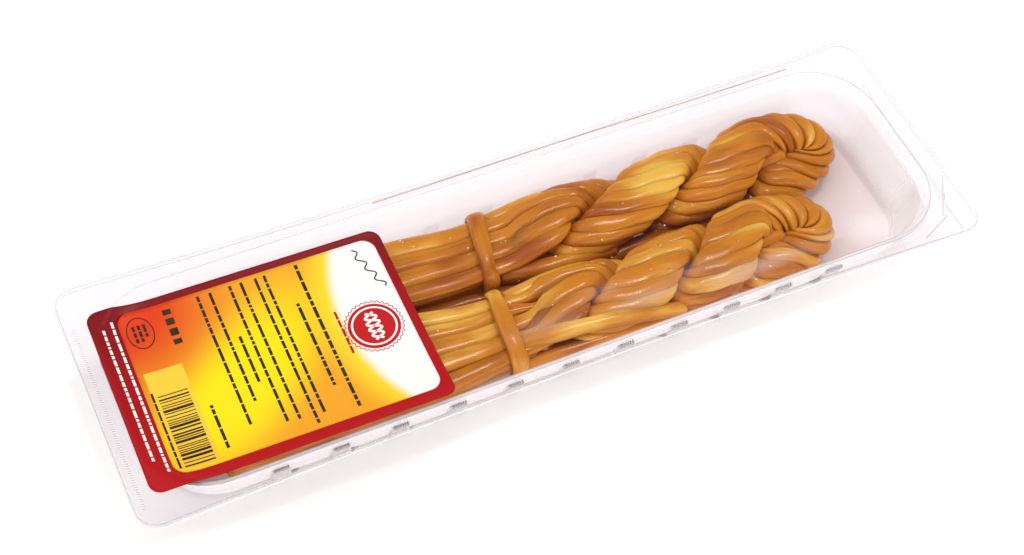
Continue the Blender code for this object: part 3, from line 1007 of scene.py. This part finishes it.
def build_tray(material):
    stops = tray_stops()
    rings = []

    def add(outline, height):
        heights = np.broadcast_to(np.asarray(height, float), (len(outline),))
        rings.append(np.column_stack([outline, heights]))

    # Flange: a rolled edge, then flat, with two fine beads round the mouth.
    for inset, drop in ((0.0, 0.9), (0.15, 0.35), (0.5, 0.0), (1.2, 0.0)):
        size = (PACK_LENGTH - 2 * inset * MM, PACK_WIDTH - 2 * inset * MM)
        add(rounded_outline(*size, RIM_CORNER - inset * MM, stops, 10, SIDE_BOW), RIM_HEIGHT - drop * MM)
    for outset, rise in ((2.6, 0.0), (2.3, -0.1), (2.0, 0.0), (1.3, 0.0), (1.0, -0.1), (0.7, 0.0), (0.25, -0.05), (0.0, -0.35)):
        size = (MOUTH_LENGTH + 2 * outset * MM, MOUTH_WIDTH + 2 * outset * MM)
        add(rounded_outline(*size, MOUTH_CORNER + outset * MM, stops, 10), RIM_HEIGHT + rise * MM)
    # Step: sloping in, with a small ledge at its foot.
    for share, drop in ((0.45, 1.2), (0.72, 2.3), (0.85, 2.75), (1.0, 3.0)):
        add(
            rounded_outline(
                blend(MOUTH_LENGTH, STEP_LENGTH, share),
                blend(MOUTH_WIDTH, STEP_WIDTH, share),
                blend(MOUTH_CORNER, STEP_CORNER, share),
                stops, 10,
            ),
            RIM_HEIGHT - drop * MM,
        )
    # Wall, with the lugs standing out from its foot.
    lugs = np.array([lug_share(x) for x, _ in tray_ring(SHEET, stops)])
    side = np.abs(tray_ring(SHEET, stops)[:, 1]) > FLOOR_WIDTH / 2 - 1e-6
    stands = lugs[:, 0] * side
    teeth = lugs[:, 1] * side * (tray_ring(SHEET, stops)[:, 1] < 0)
    levels = ((16.2, 0.0), (13.0, 0.0), (10.5, 0.0), (LUG_TOP / MM + 0.35, 0.0), (LUG_TOP / MM - 0.25, 1.0), (6.0, 1.0), (SHEET / MM + 2.2, 1.0))
    first_level = len(rings)
    for level, out in levels:
        outline = tray_ring(level * MM, stops)
        depth = np.where(outline[:, 1] < 0, LUG_DEPTH, -FAR_LUG_DEPTH)
        outline[:, 1] -= depth * out * stands
        near_top = abs(level * MM - LUG_TOP) < 1.0 * MM
        add(outline, level * MM - (teeth if near_top else 0.0))
    foot = rings[-1][:, :2]
    for i in range(1, 5):
        angle = math.pi / 2 * i / 4
        pull = 2.0 * MM * (1 - math.cos(angle))
        height = SHEET + 2.2 * MM * (1 - math.sin(angle))
        scale = 1 - pull / np.linalg.norm(foot, axis=1) * 1.6
        add(foot * scale[:, None], height)
    inner = rings[-1][:, :2]
    for inset in (3.0, 7.0, 12.0, 17.0, 22.0):
        shrink = np.array((1 - 2 * inset * MM / FLOOR_LENGTH, 1 - 2 * inset * MM / FLOOR_WIDTH))
        outline = inner * shrink
        swell = 0.10 * MM * (1 + np.sin(outline[:, 0] * 95 + outline[:, 1] * 60))
        add(outline, SHEET + swell)
    rings = np.stack(rings)
    # Painted shade: the light through the tray's floor and the foot of its walls is tinted darker, and the tint fades
    # at GLARE for a painted highlight on the floor.
    deep = 1.0 - smoothstep(rings[..., 2], SHEET, 9 * MM)
    glare = ((rings[..., 0] - GLARE[0] * MM) / (GLARE[2] * MM)) ** 2 + ((rings[..., 1] - GLARE[1] * MM) / (GLARE[3] * MM)) ** 2
    deep *= 1.0 - 0.9 * np.exp(-glare)
    # Painted shade: the lugs on the near side take a grey plastic colour.
    lug = np.zeros(rings.shape[:2])
    lug[first_level + 4 : first_level + 7] = stands * (rings[0, :, 1] < 0)
    maker = MeshMaker()
    index = maker.add_grid(rings, closed=True, deep=deep, lug=lug)
    maker.add_face(index[-1])
    piece = maker.build("tray_shell", material, sharp_angle=45)
    thicken(piece, SHEET)
    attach(piece, "root")
    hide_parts("tray")
    return piece


def inside_mouth(x, y):
    past_x = np.abs(x) - (MOUTH_LENGTH / 2 - MOUTH_CORNER)
    past_y = np.abs(y) - (MOUTH_WIDTH / 2 - MOUTH_CORNER)
    to_corner = np.hypot(np.maximum(past_x, 0.0), np.maximum(past_y, 0.0))
    return np.maximum(MOUTH_CORNER - to_corner - np.minimum(np.maximum(past_x, past_y), 0.0), 0.0)


def film_height(x, y):
    """Upper face of the lid film, as in the part."""
    sag = FILM_SAG * (1.0 - np.exp(-inside_mouth(x, y) / FILM_SAG_REACH))
    return RIM_HEIGHT + GAP + FILM - sag


def sheet_grid(length, width, corner, x_lines, y_lines, bow=0.0):
    """A grid over a rounded rectangle: corner squares are bent into quarter discs."""
    x, y = np.meshgrid(x_lines, y_lines, indexing="ij")
    half_x, half_y = length / 2 - corner, width / 2 - corner
    a = np.clip((np.abs(x) - half_x) / corner, 0.0, 1.0)
    b = np.clip((np.abs(y) - half_y) / corner, 0.0, 1.0)
    in_corner = (a > 0) & (b > 0)
    bent_x = np.sign(x) * (half_x + corner * a * np.sqrt(1 - b * b / 2))
    bent_y = np.sign(y) * (half_y + corner * b * np.sqrt(1 - a * a / 2))
    x = np.where(in_corner, bent_x, x)
    y = np.where(in_corner, bent_y, y)
    pull = bow * (1 - np.clip(np.abs(x) / half_x, 0, 1) ** 2)
    return x, y * (1 - pull / (width / 2))


def lines(half, corner, step):
    """Grid lines from -half to half, with lines on the start of both corners."""
    inner = np.linspace(-(half - corner), half - corner, int(2 * (half - corner) / step) + 1)
    outer = np.linspace(half - corner, half, max(int(corner / step), 3) + 1)[1:]
    return np.concatenate([-outer[::-1], inner, outer])


def ridge(x, y, start, end, size, breadth):
    """Height of a soft ridge along a line between two points, fading at its ends."""
    start, end = np.array(start) * MM, np.array(end) * MM
    run = end - start
    share = ((x - start[0]) * run[0] + (y - start[1]) * run[1]) / (run @ run)
    off = ((x - start[0]) * run[1] - (y - start[1]) * run[0]) / np.linalg.norm(run)
    fade = smoothstep(share, -0.08, 0.08) * (1 - smoothstep(share, 0.92, 1.08))
    return size * MM * fade * np.exp(-((off / (breadth * MM)) ** 2))


def build_film(material):
    x_lines = lines(PACK_LENGTH / 2, RIM_CORNER, 1.1 * MM)
    y_lines = lines(PACK_WIDTH / 2, RIM_CORNER, 1.1 * MM)
    x, y = sheet_grid(PACK_LENGTH, PACK_WIDTH, RIM_CORNER, x_lines, y_lines, SIDE_BOW)
    z = film_height(x, y)
    inner = smoothstep(inside_mouth(x, y), 0.0, 12 * MM)
    z += inner * 0.10 * MM * np.sin(x * 210 + y * 90) * np.sin(y * 160 - x * 35)
    cloudy = np.zeros_like(x)
    for middle_x, middle_y, along, across, amount in CLOUDS:
        off = ((x / MM - middle_x) / along) ** 2 + ((y / MM - middle_y) / across) ** 2
        cloudy += amount * np.exp(-off)
    maker = MeshMaker()
    maker.add_grid(np.stack([x, y, z], axis=-1), cloudy=cloudy)
    piece = maker.build("lid_film_sheet", material)
    thicken(piece, 0.12 * MM)
    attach(piece, "root")
    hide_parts("lid_film")
    return piece


def build_droplets(material):
    """Fine drops of moisture hanging under the film over the ties and the first plies."""
    rng = random.Random(12)
    turn = np.linspace(0.0, 2 * math.pi, 9)[:-1]
    dip = np.linspace(0.0, math.pi / 2, 4)[:-1]
    maker = MeshMaker()
    for _ in range(DROPLETS):
        x = rng.gauss(2.0, 26.0) * MM
        y = rng.uniform(-23.0, 26.0) * MM
        radius = (0.08 + 0.22 * rng.random() ** 2) * MM
        top = film_height(x, y) - 0.16 * MM
        rings = [
            np.stack([x + radius * math.cos(a) * np.cos(turn), y + radius * math.cos(a) * np.sin(turn),
                      np.full(len(turn), top - 0.7 * radius * math.sin(a))], axis=1)
            for a in dip
        ]
        index = maker.add_grid(np.stack(rings)[:, ::-1], closed=True)
        maker.add_face(index[-1])
        maker.add_face(index[0][::-1])
    piece = maker.build("film_droplets", material)
    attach(piece, "root")
    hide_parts("lid_film")
    return piece


def film_ribbon(maker, x, y, width, lift=0.03 * MM):
    """A narrow line of even width lying on the film along the points (x, y), in mm."""
    x, y = np.asarray(x, float) * MM, np.asarray(y, float) * MM
    run = unit(np.stack([np.gradient(x), np.gradient(y)], axis=-1)) * width * MM / 2
    rows = [
        np.stack([px, py, film_height(px, py) + lift], axis=-1)
        for px, py in ((x - run[:, 1], y + run[:, 0]), (x + run[:, 1], y - run[:, 0]))
    ]
    maker.add_grid(np.stack(rows))


def between(start, end, count=24):
    share = np.linspace(0.0, 1.0, count)
    return blend(start[0], end[0], share), blend(start[1], end[1], share)


def film_lines(name, material, maker):
    piece = maker.build(name, material)
    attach(piece, "root")
    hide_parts("lid_film")
    return piece


def build_seal(grey, brown, white):
    """The knurled lines of the seal, painted shade lines for the peel creases, the mouth and the rim, a painted
    reflection of the cheese along the far mouth edge and painted glints along the mouth.
    """
    seal = MeshMaker()
    film_ribbon(seal, *between((123.1, 22.1), (122.8, 3.0)), 0.22)
    for i in range(38):
        y = 2.4 - 0.75 * i
        film_ribbon(seal, *between((122.2, y), (123.2, y - 0.35), 4), 0.24)
    film_ribbon(seal, *between((121.4, -25.2), (122.5, -27.0), 6), 0.3)
    film_ribbon(seal, *between((123.7, -25.0), (122.5, -27.0), 6), 0.3)
    for i in range(80):
        y = 26.0 - 0.75 * i
        film_ribbon(seal, *between((-126.9, y), (-126.1, y - 0.3), 4), 0.22)
    # The peel creases, the mouth outline and the rim outline are painted shade lines, in the grey of the seal's knurls.
    for start, end in PEEL_CREASES:
        film_ribbon(seal, *between(start, end), 0.35)
    outline = rounded_outline(MOUTH_LENGTH, MOUTH_WIDTH, MOUTH_CORNER, np.linspace(-100, 100, 80) * MM, 14) / MM
    film_ribbon(seal, outline[:, 0], outline[:, 1], 0.30)
    size = (PACK_LENGTH - 1.0 * MM, PACK_WIDTH - 1.0 * MM)
    rim = rounded_outline(*size, RIM_CORNER - 0.5 * MM, np.linspace(-100, 100, 80) * MM, 10, SIDE_BOW) / MM
    rim = np.vstack([rim, rim[:1]])
    film_ribbon(seal, rim[:, 0], rim[:, 1], 0.35)
    film_lines("film_seal_and_edge_shade_lines", grey, seal)

    # A painted reflection of the cheese, a thin brown line along the far edge of the mouth.
    edge = MeshMaker()
    along = np.linspace(-35.0, 104.0, 90)
    far_side = MOUTH_WIDTH / 2 / MM + 2.3
    film_ribbon(edge, along, far_side + 0.15 * np.sin(along / 17.0), 0.42)
    film_lines("film_painted_reflection_line", brown, edge)

    # Painted highlights along the far right corner of the mouth.
    glints = MeshMaker()
    turn = np.linspace(math.radians(8), math.radians(62), 30)
    corner_x, corner_y = (MOUTH_LENGTH / 2 - MOUTH_CORNER) / MM, (MOUTH_WIDTH / 2 - MOUTH_CORNER) / MM
    for inset, width in ((0.8, 0.7), (2.2, 0.35)):
        reach = MOUTH_CORNER / MM - inset
        film_ribbon(glints, corner_x + reach * np.cos(turn), corner_y + reach * np.sin(turn), width)
    film_lines("film_glints", white, glints)


# ---------------------------------------------------------------- label


def on_label(u, v, lift):
    """Points at (u, v) from the label's middle, lift above the film that carries it."""
    cos, sin = math.cos(LABEL_TURN), math.sin(LABEL_TURN)
    x = LABEL_CENTRE.x + u * cos - v * sin
    y = LABEL_CENTRE.y + u * sin + v * cos
    return np.stack([x, y, film_height(x, y) + lift], axis=-1)


def rectangle_loop(low, high, corner, long_steps, short_steps, corner_steps):
    """Points (u, v) round a rounded rectangle between two corners, close enough to drape."""
    (u0, v0), (u1, v1) = low, high
    loop = []
    sides = (
        ((u0 + corner, v0), (u1 - corner, v0), long_steps, (u1 - corner, v0 + corner), -math.pi / 2),
        ((u1, v0 + corner), (u1, v1 - corner), short_steps, (u1 - corner, v1 - corner), 0.0),
        ((u1 - corner, v1), (u0 + corner, v1), long_steps, (u0 + corner, v1 - corner), math.pi / 2),
        ((u0, v1 - corner), (u0, v0 + corner), short_steps, (u0 + corner, v0 + corner), math.pi),
    )
    for start, end, steps, centre, first in sides:
        loop += [(blend(start[0], end[0], i / steps), blend(start[1], end[1], i / steps)) for i in range(steps)]
        for i in range(corner_steps):
            angle = first + math.pi / 2 * i / corner_steps
            loop.append((centre[0] + corner * math.cos(angle), centre[1] + corner * math.sin(angle)))
    return np.array(loop)


def shares_on_label(u, v):
    return (u + LABEL_LENGTH / 2) / LABEL_LENGTH, (v + LABEL_WIDTH / 2) / LABEL_WIDTH


def label_piece(piece, thickness):
    if thickness:
        thicken(piece, thickness)
    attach(piece, "root")
    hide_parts("label")
    return piece


def field_box():
    low = (-LABEL_LENGTH / 2 + BORDER_LEFT, -LABEL_WIDTH / 2 + BORDER_NEAR)
    high = (LABEL_LENGTH / 2 - BORDER_RIGHT, LABEL_WIDTH / 2 - BORDER_FAR)
    return low, high


def build_border():
    outer = rectangle_loop((-LABEL_LENGTH / 2, -LABEL_WIDTH / 2), (LABEL_LENGTH / 2, LABEL_WIDTH / 2), LABEL_CORNER, 60, 40, 8)
    inner = rectangle_loop(*field_box(), FIELD_CORNER, 60, 40, 8)
    maker = MeshMaker()
    rows = [blend(outer, inner, share) for share in np.linspace(0.0, 1.0, 7)]
    outline = np.stack(rows)
    u, v = outline[..., 0], outline[..., 1]
    along, across = shares_on_label(u, v)
    maker.add_grid(on_label(u, v, LABEL_LIFT), closed=True, along=along, across=across)
    return label_piece(maker.build("label_border", border_material()), LABEL_SHEET)


def build_field():
    """The field reaches a little way under the border."""
    (u0, v0), (u1, v1) = field_box()
    tuck = 0.5 * MM
    length, width = u1 - u0 + 2 * tuck, v1 - v0 + 2 * tuck
    corner = FIELD_CORNER + tuck
    u_lines = lines(length / 2, corner, 1.0 * MM)
    v_lines = lines(width / 2, corner, 1.0 * MM)
    u, v = sheet_grid(length, width, corner, u_lines, v_lines)
    u, v = u + (u0 + u1) / 2, v + (v0 + v1) / 2
    along, across = shares_on_label(u, v)
    maker = MeshMaker()
    maker.add_grid(on_label(u, v, LABEL_LIFT - 0.04 * MM), along=along, across=across)
    return label_piece(maker.build("label_field", field_material()), LABEL_SHEET / 2)


def add_patch(maker, u0, u1, v0, v1, lift=PRINT_LIFT):
    """One printed rectangle, split finely enough to lie on the label."""
    columns = max(int((u1 - u0) / (1.2 * MM)), 1) + 1
    rows = max(int((v1 - v0) / (1.2 * MM)), 1) + 1
    u, v = np.meshgrid(np.linspace(u0, u1, columns), np.linspace(v0, v1, rows))
    maker.add_grid(on_label(u, v, LABEL_LIFT + lift)[:, ::-1])


def add_ribbon(maker, u, v, width, lift=PRINT_LIFT):
    """One printed line of even width along the points (u, v)."""
    run = unit(np.stack([np.gradient(u), np.gradient(v)], axis=-1)) * width / 2
    rows = np.stack([
        on_label(u - run[:, 1], v + run[:, 0], LABEL_LIFT + lift),
        on_label(u + run[:, 1], v - run[:, 0], LABEL_LIFT + lift),
    ])
    maker.add_grid(rows)


def add_disc(maker, centre, inner, outer, lift):
    turn = np.linspace(0.0, 2 * math.pi, 73)[:-1]
    radii = np.array([inner, outer])[:, None]
    u = centre[0] + radii * np.cos(turn)
    v = centre[1] + radii * np.sin(turn)
    maker.add_grid(on_label(u, v, LABEL_LIFT + lift), closed=True)


# Rows of print as plain dashes: place along the label, far end, near end and height, in mm.
DARK_ROWS = (
    (16.9, 26.6, -24.0, 0.95),
    (13.1, 14.4, -14.3, 0.90),
    (7.5, 26.4, -21.4, 0.80),
    (4.9, 26.4, -24.2, 0.80),
    (0.7, 26.5, -22.0, 0.80),
    (-2.6, 26.5, -20.4, 0.80),
    (-5.4, 10.0, -6.0, 0.80),
    (-8.4, 26.4, -12.0, 0.80),
    (-12.0, 26.4, -18.0, 0.80),
    (-19.8, -8.0, -22.3, 0.85),
    (-33.4, 1.0, -24.2, 0.60),
)
BOLD_ROW = (-21.4, 25.5, 13.8, 2.3)
PALE_ROWS = ((-36.6, 25.8, -24.5, 0.75), (-39.4, 23.6, -20.1, 0.75))
RED_ROW = (21.6, 8.0, -7.0, 0.7)
BAR_CODE = (-32.2, -23.9, -24.2, -0.8)
PANEL = (-33.6, -22.8, -24.9, 7.6)
STAMP = (-30.1, 20.6)
BADGE = (30.2, -0.4)
BADGE_RADIUS = 7.4


def add_dashes(maker, rng, row, shortest=0.8, longest=4.6):
    """A row of dashes as long as words, running from the far side to the near side."""
    place, far, near, height = row
    at = far
    while at > near + shortest:
        length = min(rng.uniform(shortest, longest), at - near)
        add_patch(maker, (place - height / 2) * MM, (place + height / 2) * MM, (at - length) * MM, at * MM)
        at -= length + 0.55 * height


def build_print():
    rng = random.Random(21)
    dark = MeshMaker()
    for row in DARK_ROWS:
        add_dashes(dark, rng, row)
    add_dashes(dark, rng, BOLD_ROW, 1.6, 2.4)
    u0, u1, v0, v1 = BAR_CODE
    at = v0
    while at < v1:
        bar = rng.choice((0.28, 0.28, 0.5, 0.8))
        add_patch(dark, u0 * MM, u1 * MM, at * MM, (at + bar) * MM)
        at += bar + rng.choice((0.34, 0.5, 0.8))
    turn = np.linspace(0.0, 2 * math.pi, 49)
    add_ribbon(dark, (STAMP[0] + 3.6 * np.cos(turn)) * MM, (STAMP[1] + 5.0 * np.sin(turn)) * MM, 0.3 * MM)
    for offset in (-1.5, 0.0, 1.5):
        add_dashes(dark, rng, (STAMP[0] + offset, STAMP[1] + 2.6, STAMP[1] - 2.8, 0.8), 1.0, 2.6)
    wave = np.linspace(0.0, 1.0, 60)
    flourish_u = (33.5 + 4.6 * wave + 0.9 * np.sin(wave * 22)) * MM
    add_ribbon(dark, flourish_u, (25.6 - 14.5 * wave) * MM, 0.38 * MM)
    label_piece(dark.build("label_dark_print", printed_material("dark_ink", (0.030, 0.018, 0.010), (0.05, 0.03, 0.015))), 0.0)

    pale = MeshMaker()
    for row in PALE_ROWS:
        add_dashes(pale, rng, row, 0.6, 2.6)
    ring_lift = 2 * PRINT_LIFT
    add_disc(pale, (BADGE[0] * MM, BADGE[1] * MM), (BADGE_RADIUS - 1.5) * MM, (BADGE_RADIUS - 0.9) * MM, ring_lift)
    sweep = np.linspace(-1.0, 1.0, 60)
    for phase in (0.0, math.pi):
        twist_u = (BADGE[0] + 1.9 * np.sin(sweep * 7.4 + phase) * (1 - 0.35 * sweep**2)) * MM
        add_ribbon(pale, twist_u, (BADGE[1] + 4.6 * sweep) * MM, 0.75 * MM, ring_lift)
    label_piece(pale.build("label_pale_print", printed_material("pale_ink", (0.90, 0.84, 0.78), (0.95, 0.90, 0.84))), 0.0)

    red = MeshMaker()
    add_disc(red, (BADGE[0] * MM, BADGE[1] * MM), 0.01 * MM, BADGE_RADIUS * MM, PRINT_LIFT)
    scallops = 34
    turn = np.linspace(0.0, 2 * math.pi, 8 * scallops + 1)
    edge = BADGE_RADIUS + 0.75 + 0.28 * np.cos(turn * scallops)
    add_ribbon(red, (BADGE[0] + edge * np.cos(turn)) * MM, (BADGE[1] + edge * np.sin(turn)) * MM, 0.22 * MM)
    add_dashes(red, rng, RED_ROW, 1.0, 3.2)
    label_piece(red.build("label_red_print", printed_material("red_ink", (0.55, 0.012, 0.016), (0.50, 0.010, 0.014))), 0.0)

    panel = MeshMaker()
    u0, u1, v0, v1 = (value * MM for value in PANEL)
    add_patch(panel, u0, u1, v0, v1, PRINT_LIFT / 2)
    label_piece(panel.build("label_panel", printed_material("panel_ink", (0.92, 0.50, 0.040), (0.93, 0.60, 0.050), 25.0)), 0.0)


# ---------------------------------------------------------------- scene


def aim(spot, target):
    direction = Vector(target) - spot.location
    spot.rotation_euler = direction.to_track_quat("-Z", "Y").to_euler()


def add_softbox(name, place, target, size, power, colour=(1.0, 1.0, 1.0)):
    lamp = bpy.data.lights.new(name, "AREA")
    lamp.shape = "RECTANGLE"
    lamp.size, lamp.size_y = size
    lamp.energy = power
    lamp.color = colour
    spot = bpy.data.objects.new(name, lamp)
    bpy.context.scene.collection.objects.link(spot)
    spot.location = place
    aim(spot, target)
    return spot


def build_camera():
    data = bpy.data.cameras.new("camera")
    data.lens = 65.39
    data.sensor_width = 36.0
    camera = bpy.data.objects.new("camera", data)
    bpy.context.scene.collection.objects.link(camera)
    right = Vector((0.90369, -0.42296, 0.0668))
    down = Vector((-0.31125, -0.75596, -0.57588))
    ahead = Vector((0.29407, 0.49962, -0.81480))
    turn = Matrix((right, -down, -ahead)).transposed().to_4x4()
    camera.matrix_world = Matrix.Translation((-0.16294, -0.26589, 0.44826)) @ turn
    bpy.context.scene.camera = camera
    return camera


def build_stage():
    nodes = Nodes("studio_floor")
    place = nodes.add("TexCoord").outputs["Object"]
    tone = nodes.noise(place, 8.0, 2.0)
    nodes.set(
        Base_Color=nodes.ramp(tone, (0.2, 0.90), (0.8, 0.92)),
        Roughness=0.9,
        Emission_Color=(1.0, 1.0, 1.0, 1.0),
        Emission_Strength=0.215,
    )
    maker = MeshMaker()
    maker.add_grid(np.array([[(-3, -3, 0), (3, -3, 0)], [(-3, 3, 0), (3, 3, 0)]], float))
    floor = maker.build("studio_floor", nodes.material)
    floor.location.z = -0.02 * MM
    world = bpy.data.worlds.new("studio")
    world.use_nodes = True
    tree = world.node_tree
    background = tree.nodes["Background"]
    # Soft light all round, brighter low down than overhead.
    direction = tree.nodes.new("ShaderNodeTexCoord")
    height = tree.nodes.new("ShaderNodeSeparateXYZ")
    ramp = tree.nodes.new("ShaderNodeValToRGB")
    tree.links.new(direction.outputs["Generated"], height.inputs[0])
    tree.links.new(height.outputs["Z"], ramp.inputs["Fac"])
    tree.links.new(ramp.outputs["Color"], background.inputs["Color"])
    ramp.color_ramp.interpolation = "EASE"
    low, high = ramp.color_ramp.elements
    low.position, low.color = 0.12, (1.0, 1.0, 1.0, 1.0)
    high.position, high.color = 0.62, (0.36, 0.36, 0.36, 1.0)
    background.inputs["Strength"].default_value = 0.88
    bpy.context.scene.world = world
    bpy.context.scene.view_settings.view_transform = "Standard"
    add_softbox("key", (-0.60, 0.35, 1.20), (0.0, 0.0, 0.0), (1.7, 1.4), 10.5)
    add_softbox("fill", (0.15, -1.0, 0.40), (0.0, 0.0, 0.0), (1.0, 0.5), 4.6)
    add_softbox("glint", (0.32, 0.12, 1.00), (0.0, 0.0, 0.0), (0.22, 0.16), 3.0)


def main():
    build_camera()
    build_stage()
    # The last two colours are painted shade for the creases: brown at their edges, dark deep in them.
    cheese = cheese_material(
        "smoked_cheese_strands", (0.85, 0.49, 0.075), (0.60, 0.215, 0.009), (0.35, 0.080, 0.003), (0.46, 0.135, 0.006),
        (0.15, 0.028, 0.002),
    )
    for braid in BRAIDS:
        build_braid(braid, cheese)
        build_tie(braid, cheese)
    tray_through, film_through = (0.972, 0.950, 0.958), (0.996, 0.986, 0.989)
    # Painted shade: the darker tint seen through the tray's floor.
    tray_floor_shade_colour = (0.888, 0.826, 0.814)
    # Painted shade on the lugs: their grey plastic colour, the last argument.
    build_tray(clear_material("clear_tray_sheet", (0.97, 0.96, 0.965), tray_through, 0.015, 9.0, 3.4, 0.2, deep=tray_floor_shade_colour, painted_lug_shade=(0.62, 0.61, 0.60)))
    build_film(clear_material("clear_lid_film", (0.95, 0.93, 0.94), film_through, 0.001, 0.15, 3.0, 0.10, cloudy="cloudy"))
    build_droplets(clear_material("moisture", (1.0, 1.0, 1.0), (0.92, 0.88, 0.84), 0.38, 1.2, 1.6, 0.04))
    build_seal(
        # Grey for the seal's knurled lines and for painted shade lines at the creases, the mouth and the rim.
        clear_material("seal_and_edge_shade_grey", (0.52, 0.48, 0.50), film_through, 0.46, 0.1, 2.0, 0.35),
        # Brown for the painted reflection of the cheese along the far mouth edge.
        clear_material("painted_cheese_reflection", (0.46, 0.20, 0.11), film_through, 0.72, 0.1, 2.0, 0.35),
        clear_material("glint_white", (1.0, 1.0, 1.0), film_through, 0.75, 0.1, 2.0, 0.20),
    )
    build_border()
    build_field()
    build_print()


main()
